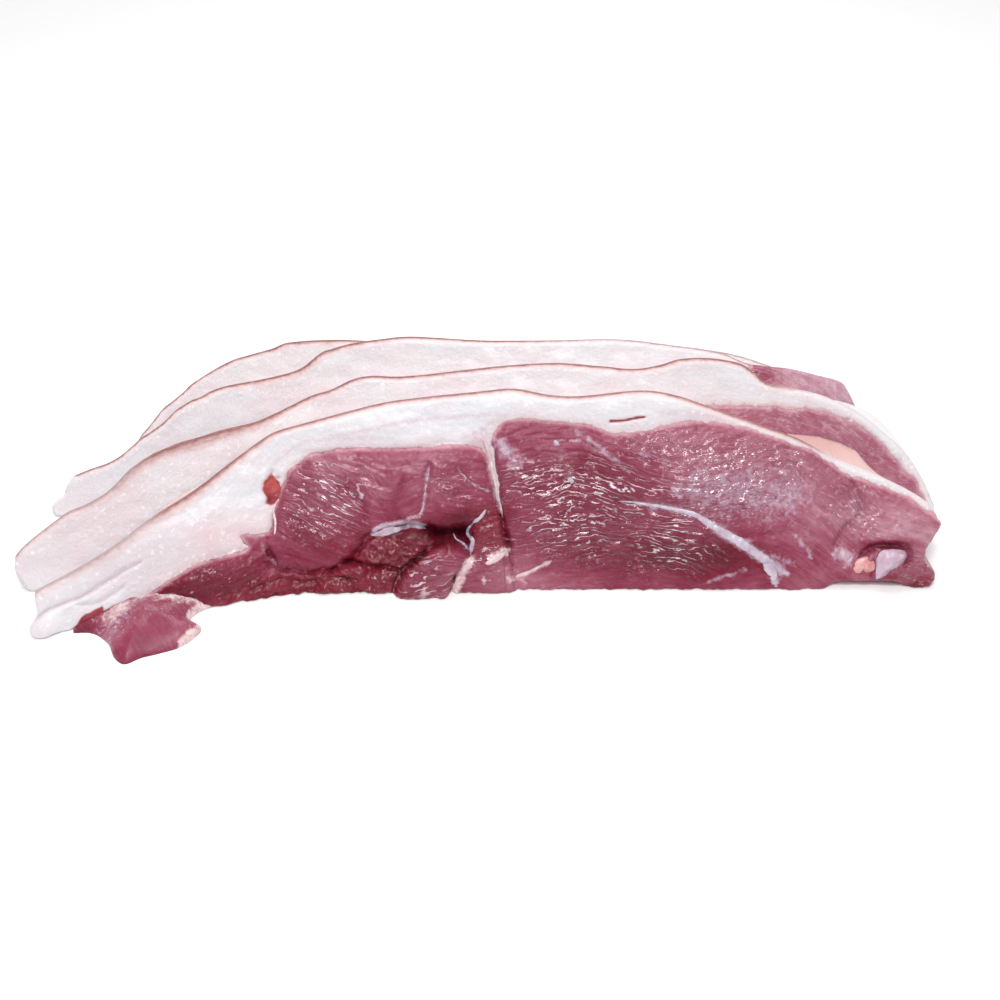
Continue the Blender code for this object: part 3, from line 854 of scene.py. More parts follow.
def srgb(red: float, green: float, blue: float) -> tuple[float, float, float, float]:
    """A screen colour in 0 to 255 as the shader's linear colour."""
    parts = [c / 255 for c in (red, green, blue)]
    return (*(p / 12.92 if p <= 0.04045 else ((p + 0.055) / 1.055) ** 2.4 for p in parts), 1.0)


def new_group(name: str, inputs: Sequence[tuple[str, float]],
              outputs: Sequence[str]) -> tuple[bpy.types.NodeTree, Graph, bpy.types.Node]:
    """An empty shader group with number sockets.

    Args:
        name: the group's name.
        inputs: name and first value of each input.
        outputs: name of each output.

    Returns:
        The tree, a graph to fill it with, and the node that holds its inputs.
    """
    tree = bpy.data.node_groups.new(name, "ShaderNodeTree")
    for label, value in inputs:
        socket = tree.interface.new_socket(label, in_out='INPUT', socket_type='NodeSocketFloat')
        socket.default_value = value
    for label in outputs:
        tree.interface.new_socket(label, in_out='OUTPUT', socket_type='NodeSocketFloat')
    graph = Graph(tree)
    return tree, graph, graph.add("NodeGroupInput")


@dataclass(frozen=True)
class WetFilm:
    """The film of juice on a cut: low pools, and fine lines along the fibres.

    The pools and lines are fine relief under a real gloss. Shine marks the lines and
    Shade their flanks. The lean's finish lays both over its colour as paint, because
    the lamps alone give too few glints. Pairs are millimetres along and across the
    fibres.
    """

    line: tuple[float, float] = (7.5, 1.15)
    grain: tuple[float, float] = (2.6, 1.25)
    thread: tuple[float, float] = (6.0, 0.8)
    glint_line_size: tuple[float, float] = (10.0, 1.9)
    glint_speck_size: tuple[float, float] = (1.7, 0.85)
    sway_size: tuple[float, float] = (14.0, 7.0)
    kink_size: tuple[float, float] = (3.2, 1.8)
    short_breaks: tuple[float, float] = (3.4, 1.6)
    long_breaks: tuple[float, float] = (12.0, 6.0)
    sway: float = 5.0
    kink: float = 1.4
    edge: float = 0.1
    depth: float = 0.36
    line_height: float = 0.2
    thread_height: float = 0.1
    speckle_height: float = 0.03
    dry_roughness: float = 0.42
    wet_roughness: float = 0.17

    def lines(self, graph: Graph) -> bpy.types.NodeSocket:
        """How far a place is from wavy lines along the fibres.

        Args:
            graph: the tree that the nodes go into.

        Returns:
            The distance in shares of the lines' spacing.
        """
        across = graph.add("ShaderNodeSeparateXYZ", {0: graph.fibres(*self.glint_line_size)}).outputs[1]
        sway = graph.noise(graph.fibres(*self.sway_size, 2.0), 1.0, 1.0)
        kinks = graph.noise(graph.fibres(*self.kink_size, 5.0))
        wavy = graph.plus(graph.plus(across, sway, self.sway), kinks, self.kink)
        return graph.math('PINGPONG', wavy, 0.5)

    def breaks(self, graph: Graph) -> bpy.types.NodeSocket:
        """Where the lines show, from 0 to 1, in short and long stretches."""
        short = graph.step(graph.noise(graph.fibres(*self.short_breaks, 8.0)), 0.42, 0.52)
        long = graph.noise(graph.fibres(*self.long_breaks, 9.0), 1.0, 3.0)
        return graph.times(short, graph.step(long, 0.4, 0.56, 0.15, 1.0))

    def group(self) -> bpy.types.NodeTree:
        """The film as a shader group.

        Returns:
            The group, which gives the film's height in millimetres, its roughness, and
            the masks of its lines and of their flanks.
        """
        tree, graph, given = new_group("Wet film", (("Wetness", 1.0), ("Streak", 0.5)),
                                       ("Height", "Roughness", "Shine", "Shade"))
        wet, streak = given.outputs["Wetness"], given.outputs["Streak"]
        lines = graph.noise(graph.fibres(*self.line), 1.0, 3.0, 0.55, 0.5)
        grains = graph.noise(graph.fibres(*self.grain, 4.0), 1.0, 3.0, 0.55, 0.9)
        threads = graph.noise(graph.fibres(*self.thread, 3.0), 1.0, 2.0, 0.5, 0.2)
        speckle = graph.noise(graph.place(), 1100.0, 2.0)
        film = graph.step(graph.blend(streak, grains, lines), 0.5 - self.edge, 0.5 + self.edge)
        away = self.lines(graph)
        # Glint marks: wavy lines along the fibres and small specks elsewhere. They are real relief,
        # and the finishes also paint them pale as a painted highlight.
        glint_specks = graph.step(graph.noise(graph.fibres(*self.glint_speck_size, 6.0)), 0.6, 0.72)
        glint_marks = graph.blend(streak, glint_specks, graph.step(away, 0.04, 0.15, 1.0, 0.0))
        shine = graph.times(graph.times(glint_marks, self.breaks(graph)), wet)
        flanks = graph.step(away, 0.15, 0.32, 1.0, 0.0)
        height = graph.times(graph.times(film, self.depth), wet)
        height = graph.plus(height, shine, self.line_height)
        height = graph.plus(height, threads, self.thread_height)
        height = graph.plus(height, speckle, self.speckle_height)
        rough = graph.step(graph.times(film, wet), 0.0, 1.0, self.dry_roughness, self.wet_roughness)
        graph.add("NodeGroupOutput", {"Height": height, "Roughness": rough, "Shine": shine,
                                      "Shade": graph.times(flanks, graph.times(streak, wet))})
        return tree


@dataclass(frozen=True)
class LeanFinish:
    """Raw lean: muscle colours by tone, fine fibres, pale membrane and a wet film.

    The film's lines are painted pale as a painted highlight, and their flanks dark as painted shade,
    in the shares below.
    """

    film: bpy.types.NodeTree
    name: str = "Raw lean"
    painted_shine: float = 0.95
    painted_shade: float = 0.24

    def muscle(self, graph: Graph) -> bpy.types.NodeSocket:
        """The colour of the bare muscle, lighter and darker by its tone.

        Args:
            graph: the tree that the nodes go into.

        Returns:
            The colour.
        """
        bundles = graph.noise(graph.fibres(11.0, 2.2), 1.0, 4.0, 0.6, 0.6)
        threads = graph.noise(graph.fibres(7.0, 0.7, 5.0), 1.0, 2.0, 0.6, 0.3)
        clouds = graph.noise(graph.place(), 80.0, 4.0, 0.6)
        tone = graph.number("tone")
        for part, size in ((bundles, 0.42), (threads, 0.16), (clouds, 0.42)):
            tone = graph.plus(tone, graph.math('SUBTRACT', part, 0.5), size)
        colour = graph.colours(tone, (
            (0.0, srgb(78, 12, 20)), (0.3, srgb(125, 28, 52)), (0.52, srgb(150, 64, 89)),
            (0.75, srgb(176, 109, 128)), (1.0, srgb(206, 166, 176))))
        return graph.mix(graph.number("torn"), colour, srgb(130, 20, 30))

    def tissue(self, graph: Graph, colour: bpy.types.NodeSocket) -> bpy.types.NodeSocket:
        """The muscle with its net of membrane, silvery veils, fatty strips and pale rim.

        Args:
            graph: the tree that the nodes go into.
            colour: the muscle's colour.

        Returns:
            The colour with the tissue over it.
        """
        torn = graph.noise(graph.place(), 330.0, 4.0, 0.65, 0.8)
        cells = graph.add("ShaderNodeTexVoronoi", {
            "Vector": graph.fibres(13.0, 5.0, 2.0), "Scale": 1.0, "Randomness": 1.0},
            feature='DISTANCE_TO_EDGE')
        light_lean = graph.step(graph.number("tone"), 0.52, 0.74)
        net = graph.times(graph.step(cells.outputs["Distance"], 0.0, 0.07, 1.0, 0.0),
                          graph.times(graph.step(torn, 0.42, 0.6, 0.0, 0.35), light_lean))
        colour = graph.mix(net, colour, srgb(214, 168, 184))
        ragged = graph.times(graph.math('SUBTRACT', torn, 0.55), 1.5)
        veil = graph.step(graph.math('ADD', graph.number("veil"), ragged), 0.1, 0.95)
        colour = graph.mix(veil, colour, srgb(208, 188, 206))
        fatty = graph.step(graph.math('ADD', graph.number("fatty"), ragged), 0.15, 0.85)
        colour = graph.mix(fatty, colour, srgb(240, 214, 214))
        rim = graph.math('SUBTRACT', graph.number("rim"), graph.times(ragged, 1.6))
        return graph.mix(graph.step(rim, -0.2, 2.0, 0.8, 0.0), colour, srgb(218, 168, 176))

    def material(self) -> bpy.types.Material:
        """The finish as a material.

        Returns:
            The material.
        """
        material, graph = new_material(self.name)
        colour = self.tissue(graph, self.muscle(graph))
        wet = graph.step(graph.number("wet"), 0.0, 1.0)
        film = graph.add("ShaderNodeGroup", node_tree=self.film)
        graph.tree.links.new(wet, film.inputs["Wetness"])
        graph.tree.links.new(graph.number("streak"), film.inputs["Streak"])
        # Painted shade on the flanks of the film's lines, then a painted highlight on the lines
        # themselves.
        shade = graph.times(film.outputs["Shade"], self.painted_shade)
        colour = graph.mix(shade, colour, srgb(104, 16, 40))
        shine = graph.times(film.outputs["Shine"], self.painted_shine)
        colour = graph.mix(shine, colour, srgb(252, 236, 248))
        graph.surface({
            "Base Color": colour, "Roughness": film.outputs["Roughness"],
            "Normal": graph.bump(film.outputs["Height"]), "Coat Weight": graph.times(wet, 0.8),
            "Coat Roughness": 0.07, "IOR": 1.38, "Specular IOR Level": 0.45,
            "Specular Tint": (0.93, 0.94, 1.0, 1.0),
            "Subsurface Weight": graph.step(graph.number("rim"), 0.0, 2.5, 0.0, 0.5),
            "Subsurface Radius": (1.0, 0.36, 0.3), "Subsurface Scale": 1.0 * MM})
        return material


@dataclass(frozen=True)
class FatFinish:
    """Back fat under its skin: soft white, blushed, with brown rind along the cut's edge.

    Its small white glints are painted. The soft gloss over them is real.
    """

    name: str = "Back fat and skin"
    lobule_height: float = 0.34
    fine_height: float = 0.26
    pore_height: float = 0.16

    @staticmethod
    def cut_fat(graph: Graph, clouds: object, lobules: object) -> bpy.types.NodeSocket:
        """The colour of the cut fat with its blush, lines and glints.

        Args:
            graph: the tree that the nodes go into.
            clouds: wide noise.
            lobules: the noise of the fat's small lobes.

        Returns:
            The colour.
        """
        colour = graph.mix(graph.step(clouds, 0.35, 0.68), srgb(230, 233, 236), srgb(230, 228, 232))
        colour = graph.mix(graph.step(lobules, 0.35, 0.75, 0.0, 0.25), colour, srgb(228, 216, 222))
        blush = graph.times(graph.number("blush"), graph.step(clouds, 0.25, 0.7, 0.5, 1.0))
        colour = graph.mix(blush, colour, srgb(232, 190, 196))
        # The fat's lines: its own faint lines, and along the folds painted shade in the creases.
        line = graph.times(graph.number("line"), graph.step(lobules, 0.2, 0.7, 0.45, 1.0))
        colour = graph.mix(line, colour, srgb(214, 186, 196))
        glint_specks = graph.step(graph.noise(graph.place(), 620.0, 2.0), 0.6, 0.67)
        glints = graph.times(glint_specks, graph.step(graph.number("skin"), 2.0, 8.0, 0.7, 0.25))
        return graph.mix(glints, colour, srgb(252, 250, 252))

    @staticmethod
    def skinned(graph: Graph, colour: object, clouds: object, outer: object,
                pits: object) -> bpy.types.NodeSocket:
        """The fat's colour with the rind line and the skin's outer side over it.

        Args:
            graph: the tree that the nodes go into.
            colour: the cut fat's colour.
            clouds: wide noise.
            outer: 1 on the skin's outer side.
            pits: 0 in the middle of a pore.

        Returns:
            The colour.
        """
        wander = graph.math('SUBTRACT', graph.noise(graph.place(), 300.0, 4.0, 0.6), 0.5)
        ragged = graph.plus(graph.number("skin"), wander, 1.4)
        rind = graph.colours(graph.step(ragged, -1.0, 4.0), (
            (0.0, srgb(204, 160, 154)), (0.11, srgb(166, 118, 114)), (0.2, srgb(138, 94, 94)),
            (0.32, srgb(186, 144, 142)), (0.52, srgb(222, 196, 196)), (1.0, srgb(236, 230, 234))))
        covered = graph.math('SUBTRACT', 1.0, graph.number("bare"))
        colour = graph.mix(graph.times(graph.step(ragged, 1.2, 3.6, 1.0, 0.0), covered), colour, rind)
        tan = graph.mix(graph.step(clouds, 0.3, 0.7), srgb(230, 194, 190), srgb(218, 174, 168))
        tan = graph.mix(graph.number("pale"), tan, srgb(240, 232, 236))
        pores = graph.times(graph.math('SUBTRACT', 1.0, pits), 0.3)
        return graph.mix(outer, colour, graph.mix(pores, tan, srgb(196, 146, 134)))

    def material(self) -> bpy.types.Material:
        """The finish as a material.

        Returns:
            The material.
        """
        material, graph = new_material(self.name)
        clouds = graph.noise(graph.place(), 38.0, 3.0)
        lobules = graph.noise(graph.fibres(3.0, 1.9), 1.0, 3.0, 0.55, 0.5)
        fine = graph.noise(graph.place(), 800.0, 3.0)
        cells = graph.add("ShaderNodeTexVoronoi", {"Vector": graph.place(), "Scale": 520.0})
        pits = graph.step(cells.outputs["Distance"], 0.0, 0.35)
        outer = graph.step(graph.number("skin"), -1.6, -0.4, 1.0, 0.0)
        colour = self.skinned(graph, self.cut_fat(graph, clouds, lobules), clouds, outer, pits)
        lean = graph.colours(graph.noise(graph.place(), 260.0),
                             ((0.3, srgb(182, 72, 78)), (0.7, srgb(218, 114, 110))))
        colour = graph.mix(graph.step(graph.number("raw"), 0.25, 0.8), colour, lean)
        # The darker red is painted shade in the pit and the slit. On the small piece of lean it is
        # that lean's own darker colour.
        colour = graph.mix(graph.number("deep"), colour, srgb(140, 30, 54))
        height = graph.times(lobules, self.lobule_height)
        height = graph.plus(height, fine, self.fine_height)
        height = graph.plus(height, graph.times(pits, outer), self.pore_height)
        graph.surface({
            "Base Color": colour, "Roughness": graph.step(lobules, 0.3, 0.7, 0.44, 0.6),
            "Normal": graph.bump(height), "Coat Weight": 0.18, "Coat Roughness": 0.16,
            "IOR": 1.42, "Specular IOR Level": 0.5,
            "Subsurface Weight": graph.step(graph.number("rim"), 0.0, 3.0, 0.0, 0.8),
            "Subsurface Radius": (1.0, 0.78, 0.74), "Subsurface Scale": 2.0 * MM})
        return material


@dataclass(frozen=True)
class MembraneFinish:
    """Pale moist tissue: silver skin, strands, and cartilage in a lilac of its own."""

    name: str
    light: tuple[float, ...]
    shade: tuple[float, ...]

    def material(self) -> bpy.types.Material:
        """The finish as a material.

        Returns:
            The material.
        """
        material, graph = new_material(self.name)
        clouds = graph.noise(graph.place(), 240.0, 4.0, 0.6)
        fine = graph.noise(graph.place(), 1300.0, 2.0)
        height = graph.plus(graph.times(clouds, 0.3), fine, 0.05)
        graph.surface({
            "Base Color": graph.mix(graph.step(clouds, 0.35, 0.7), self.light, self.shade),
            "Roughness": graph.step(clouds, 0.3, 0.7, 0.26, 0.4),
            "Normal": graph.bump(height), "Coat Weight": 0.4, "Coat Roughness": 0.1,
            "Subsurface Weight": 0.4, "Subsurface Radius": (1.0, 0.6, 0.6),
            "Subsurface Scale": 1.0 * MM})
        return material


@dataclass(frozen=True)
class FloorFinish:
    """The pale studio floor."""

    colour: tuple[float, ...] = (0.97, 0.97, 0.97, 1.0)

    def material(self) -> bpy.types.Material:
        """The finish as a material."""
        material, graph = new_material("Pale floor")
        graph.surface({"Base Color": self.colour, "Roughness": 0.85, "Specular IOR Level": 0.15})
        return material


# ------------------------------------------------------------- the first slice
@dataclass(frozen=True)
class Bundle:
    """One bundle of muscle: its outline, the level of its rim, and how far it swells."""

    outline: Path
    level: float
    swell: float
    rounding: float

    def height(self, corners: np.ndarray, fall: float) -> np.ndarray:
        """Its surface at each corner.

        Args:
            corners: x and v of each point.
            fall: how steeply it falls away outside its outline.

        Returns:
            One height for each corner, in millimetres.
        """
        near = signed(corners, wandering(ring_of(self.outline, 1.0), 1.3), 14.0)
        swollen = self.swell * quarter_round(np.clip(near / self.rounding, 0, 1))
        return self.level + swollen + fall * np.minimum(near, 0)


BUNDLES = (
    Bundle(((-87, 19), (-85, 24), (-84, 31), (-82, 37), (-79.5, 42), (-75, 48), (-67, 51.5),
            (-55, 52.8), (-30, 53.2), (-15, 54), (-9, 53), (-6, 49), (-4, 43), (-2, 35), (-5, 29.5),
            (-10.5, 25), (-17, 23.4), (-25, 24.8), (-33, 25.4), (-41, 23.8), (-46, 21.8), (-50, 19),
            (-54, 14), (-60, 9.5), (-66, 7.5), (-74, 7.5), (-82, 11)), 0.2, 3.6, 9.0),
    Bundle(((-129, 6.5), (-122, 11.5), (-113, 15.5), (-105, 17.5), (-97, 18), (-88, 16.5),
            (-87, 13), (-88, 8), (-92, 5), (-94, 0), (-96, -6), (-112, -6), (-113, 1), (-120, 6)),
           -0.4, 3.2, 7.0),
    Bundle(((-97, 25), (-95, 18.5), (-92, 17), (-87, 17), (-84, 25), (-91, 24)), -0.8, 1.4, 3.0),
    Bundle(((-98, -6), (-95, 3), (-91, 7.5), (-86, 10), (-78, 8.8), (-70, 6.8), (-62, 8),
            (-56, 10), (-48, 8), (-40, 8), (-37, 2), (-37, -6)), 0.0, 3.4, 4.5),
    Bundle(((-58, 10), (-54, 15), (-50, 19.5), (-46, 22), (-38, 23.5), (-30, 22.5), (-24, 19.5),
            (-22, 16), (-30, 11), (-37, 7), (-46, 7)), -2.2, 3.6, 4.0),
    Bundle(((-40, -6), (-39, 2), (-36, 7), (-30, 12), (-22, 17.5), (-18.5, 18.5), (-13, 14),
            (-13, 10), (-17, 6), (-18, 0), (-20, -6)), 2.0, 5.6, 4.4),
    Bundle(((-21, -6), (-18, 2), (-16, 7), (-12, 12.5), (-4, 13), (2, 12), (6, 4), (5, -6)),
           0.8, 2.8, 4.5),
    Bundle(((-5, 34), (-1, 30), (1, 25), (3, 16), (1, 12), (-5, 11), (-10, 12), (-11.5, 17),
            (-11, 22), (-9, 28)), -0.2, 2.6, 4.0),
)
# Lobes are x, v, half length, half height and how far they swell.
FAT_LOBES = ((30, 69, 60, 9, 1.4), (-60, 60, 40, 10, 1.2), (-120, 28, 40, 14, 1.5),
             (-161, 1, 8, 9, 3.0))
FOLD = ((-165.5, 6.4), (-160.7, 9.5), (-155.1, 10.8), (-151.1, 11.5), (-146.6, 13.3),
        (-142.8, 15.2), (-139.1, 16.8), (-135.5, 18.6), (-130, 20.5))
SIDE_FOLD = ((-152, 9.5), (-146.6, 8.4), (-142.9, 9.1), (-139.1, 10.9), (-135.5, 13))
RIGHT_LOBES = ((28, 34, 36, 30, 3.2), (84, 30, 46, 32, 3.0), (148, 18, 18, 18, 2.4))
SLIT = ((40.5, 63), (46, 63.3), (51, 64.3), (54, 64.5))
LEFT_VEIN = ((-26, 47), (-27, 42), (-28, 34), (-29, 29))
SIDE_VEIN = ((-16, 47), (-13, 42), (-6, 37.5), (-3, 37))
# Grooves are a path, a depth and a half width.
GROOVES = (
    (FOLD, 1.2, 0.9),
    (SIDE_FOLD, 0.6, 0.9),
    (((-39.5, 1), (-38, 4.5), (-34, 9), (-28, 13.6), (-22, 18)), 3.0, 1.0),
    (((-58, 11.5), (-52, 9.8), (-46, 9), (-40, 8.6), (-37.5, 7.5)), 2.0, 0.9),
    (((-92, 4), (-82, 6), (-72, 4.2), (-62, 5.6), (-53, 4.6)), 1.2, 0.7),
    (((-84, 1), (-74, 2), (-66, 0.5)), 0.9, 0.6),
    (((-58, 6), (-54, 2.5), (-50, 0.5), (-46, -1)), 1.1, 0.7),
    (((-48.5, 17), (-45, 14), (-41, 13)), 1.0, 0.8),
    (((-38, 20), (-36, 16.5), (-32, 14.5)), 1.0, 0.8),
    (((-66, 6.5), (-60, 8.6), (-55, 12.6), (-50, 18), (-47, 20.3)), 1.4, 0.9),
    (((-7, 60), (-4, 56), (-3, 52), (-2, 45), (-1, 39), (0, 31)), 0.7, 1.2),
    (((0.5, 28), (1.5, 24), (3, 18), (3.6, 15.5)), 2.2, 1.1),
    (((3.6, 15.5), (4.5, 9), (5.5, 2)), 0.9, 1.0),
    (((44, 33.5), (55, 32), (66, 30), (73, 28), (77, 25), (84, 21), (91, 17), (98, 12),
      (103, 9), (106, 7)), 0.8, 2.0),
    (((131, 41), (134, 34), (135, 29), (130, 25), (127, 21), (125, 17)), 1.3, 1.5),
    (SLIT, 1.2, 0.5),
    (((5, 53.5), (10, 55.5), (21, 56), (31, 55), (40, 50), (50, 42)), 0.5, 0.9),
    (((13, 37), (24, 40.5), (30, 40)), 0.5, 1.0),
    (LEFT_VEIN, 1.0, 1.4),
    (SIDE_VEIN, 0.6, 1.0),
    (((-58.9, 39.2), (-53.5, 35.6), (-49.9, 32), (-49.5, 26.7)), 1.1, 1.6),
    (((-35.6, 42.8), (-36.9, 37.4), (-39.2, 31.2), (-37.4, 27.1)), 1.1, 1.5),
    (((-43.7, 33.8), (-41.9, 29.4), (-41, 26.7)), 0.7, 1.1),
    (((-17, 5), (-18, 1), (-21, -3)), 1.0, 1.2),
    (((134.5, 12.2), (137.5, 15.4), (141, 16.7), (146, 16.9), (151, 15.8), (152.8, 13),
      (151, 9.5)), 2.4, 1.6),
    (((139.4, 12), (138.6, 5)), 1.2, 0.8),
    (((6, 5.5), (11, 7.5), (19, 11)), 0.5, 0.9),
)
# Silvery tissue on the lean is a path, a half width and a strength.
VEILS = (
    (((44, 33.3), (50, 32.8), (55, 32)), 1.0, 0.6),
    (((54, 32), (60, 31.3), (66, 30), (73, 28), (77, 25.3)), 1.6, 0.75),
    (((77, 25), (84, 21), (91, 17), (98, 12), (103, 9), (107, 6.5)), 2.4, 0.85),
    (((101, 9), (102, 6), (103, 2)), 1.8, 0.8),
    (((98, 13), (106, 11), (110, 9)), 1.4, 0.5),
    (((5, 54), (10, 56), (16, 56), (21, 56), (26, 56), (31, 55), (36, 52), (40, 50)), 0.7, 0.42),
    (((27, 60), (31, 57), (36, 54), (41, 49.5), (48, 44)), 1.5, 0.5),
    (((20.4, 55.4), (21.6, 54.4)), 1.3, 0.85),
    (((25.6, 41.6), (26.8, 40.6)), 1.3, 0.9),
    (((20, 54), (23, 48), (26, 42)), 2.2, 0.3),
    (((25, 33.5), (27, 32.5)), 1.3, 0.5),
    (((42, 31), (43, 29.5)), 1.0, 0.6),
    (((50, 51), (56, 50.3), (63, 48)), 1.0, 0.45),
    (((76, 3), (83, 5.6), (92, 8)), 0.9, 0.5),
    (((86, 6), (92, 8.5)), 1.1, 0.5),
    (((102, 45), (108, 37), (109, 32)), 1.3, 0.4),
    (((109, 21), (113, 17), (116, 12)), 1.3, 0.5),
    # This wide faint stroke lays a pale haze over the right of the main muscle: partly a thin film of
    # tissue, partly a painted sheen.
    (((68, 38), (84, 38), (98, 36), (112, 36)), 12.0, 0.5),
    (((-5, 58), (-2, 54), (0, 50)), 4.0, 0.5),
    (((124, 13.5), (128, 13.5), (130.5, 10)), 4.0, 0.6),
    (((131, 40), (134, 34), (136, 28)), 1.3, 0.4),
    (((140, 26), (150, 22), (160, 20)), 1.2, 0.35),
    (LEFT_VEIN, 1.0, 0.55),
    (SIDE_VEIN, 0.9, 0.5),
    (((-48, 21), (-44, 24), (-35, 25.5), (-28, 24.5)), 1.1, 0.9),
    (((-1, 56), (2, 52.5), (5, 49), (6, 45)), 3.4, 0.62),
    (((-5, 54), (-3, 48), (-2, 42), (-1, 36), (0, 31)), 1.6, 0.65),
    (((-78, 44), (-70, 46), (-60, 44)), 3.0, 0.2),
    (((-108, 1), (-100, -1), (-95, 4)), 0.9, 0.35),
)
# Fatty tissue on the lean, in the same numbers.
FATTY = (
    (((-20, -2.5), (-17, 0.6), (-15.1, 4.2), (-14.2, 6.9), (-12.4, 9.6), (-10.8, 12)), 2.0, 0.9),
    (((-4, 12), (-1, 13), (3, 15)), 2.0, 0.9),
    (((-37.5, 0), (-35, -2.6), (-31, -3), (-28.6, 1), (-28, 4)), 1.5, 0.7),
    (((-6, 6), (-6, 4)), 1.4, 0.6),
    (((124, 13), (128, 13.5), (131, 10.5), (127.5, 8)), 2.4, 0.35),
    (((6, 5), (11, 7), (19, 11)), 1.0, 0.7),
    (((-35, 26.5), (-32, 27.5), (-29, 28.5)), 1.1, 0.6),
    (((-88, 20), (-87, 14), (-80, 9.5)), 1.2, 0.4),
    (((2, 6), (6, 4), (10, 3)), 1.4, 0.5),
    (((150, 6), (155, 4), (158, 2)), 1.3, 0.35),
)
# Tones are x, v, half length, half height, and how much lighter or darker it is.
TONES = (
    (25, 60, 40, 5, 0.0), (33, 48, 13, 5, -0.2), (32, 34, 30, 18, -0.12), (80, 12, 24, 9, -0.34),
    (45, 12, 34, 8, -0.16), (30, 27, 30, 10, -0.06), (96, 44, 32, 14, 0.16),
    (118, 28, 18, 16, 0.14), (150, 24, 18, 14, 0.3), (146, 2, 16, 5, 0.0), (8, 8, 10, 8, 0.14),
    (66, 56, 26, 6, 0.08), (20, 2, 16, 4, 0.1), (-55, 46, 34, 9, 0.1), (-72, 16, 16, 9, -0.12),
    (-110, 9, 22, 9, -0.28), (-64, 3, 34, 5, -0.34), (-42, 15, 15, 7, -0.26),
    # The first spot here is painted shade in the cavity. On the next line the first two are painted
    # shade under the lower lip of the big left muscle.
    (-21, 20.5, 12, 5, -0.48), (-5, 22, 6, 10, -0.08), (-3, 5, 9, 6, 0.06),
    (-14, 27.5, 12, 3.5, -0.28), (-38, 21, 12, 2.0, -0.3), (-91, 21, 6, 4, 0.1),
    (-44, 34, 5, 5, 0.08),
    # Painted shade in the hollow over the cartilage, in the hole by the right foot and in the cleft
    # of the seam.
    (144, 16.8, 9, 2.2, -0.5), (156, 1, 3, 3, -0.5), (2.2, 20, 1.4, 2.5, -0.2),
    # Painted shade in three crevices by the lower lobe.
    (-40.2, 8.3, 1.3, 1.0, -0.5), (-37.3, 7.7, 1.0, 0.9, -0.5), (-34.8, 9.5, 1.4, 0.9, -0.3),
    # Painted highlight on the tops of the lower lobes, here and on the next line.
    (-26, 8, 6, 7, 0.12), (-48, 17.5, 5, 3, 0.16), (-34, 19, 4, 2, 0.1), (-62, 2.5, 5, 2.5, 0.14),
    (-80, 3.6, 6, 2, 0.14), (-50, 3, 4, 2.4, 0.14), (-95, 1, 5, 3, 0.1),
)
# Wet spots are x, v, half length, half height and strength.
WETNESS = (
    (-64, 38, 20, 12, 0.9), (-20, 40, 14, 10, 0.6), (-70, 24, 16, 8, 0.5), (8, 42, 9, 7, 0.8),
    (34, 36, 24, 11, 1.1), (28, 21, 22, 8, 1.1), (67, 20, 14, 11, 1.0), (86, 36, 24, 12, 0.8),
    (100, 44, 20, 10, 0.6), (130, 30, 10, 12, 0.8), (150, 8, 14, 8, 0.8), (-30, 6, 16, 10, 0.9),
    (-105, 9, 20, 8, 0.5), (-5, 12, 10, 14, 0.6), (50, 10, 30, 6, 0.5), (150, 24, 14, 10, 0.3),
    (-62, 4, 24, 6, 0.3), (-42, 15, 12, 6, 0.4), (60, 54, 20, 7, 0.6), (98, 50, 24, 8, 0.5),
)
# The next ones are x, v, half length and half height: where the wet film lies in lines,
# where the lower muscles are ragged, where they are torn and dark, and the deep cavity.
STREAKS = ((22, 44, 26, 12), (24, 22, 24, 10), (50, 40, 16, 10), (-58, 36, 18, 16),
           (66, 18, 14, 12), (-26, 7, 8, 9))
RAGGED = ((-42, 12, 18, 9), (-72, 2, 30, 5))
TORN = ((-44, 13, 18, 9), (-72, 2, 26, 5), (-4, 22, 6, 9), (150, 3, 12, 5))
CAVITY = (-21, 20, 13, 5.5)
# The small piece of lean between the tail and the flap, and the scrap of fat on it.
SMALL_LEAN = ((-155, -3), (-152.4, 1.5), (-149, 4.8), (-145.5, 6.6), (-142.5, 6.2), (-142, -3))
SCRAP = (-148.2, 0.6, 1.6, 1.3)


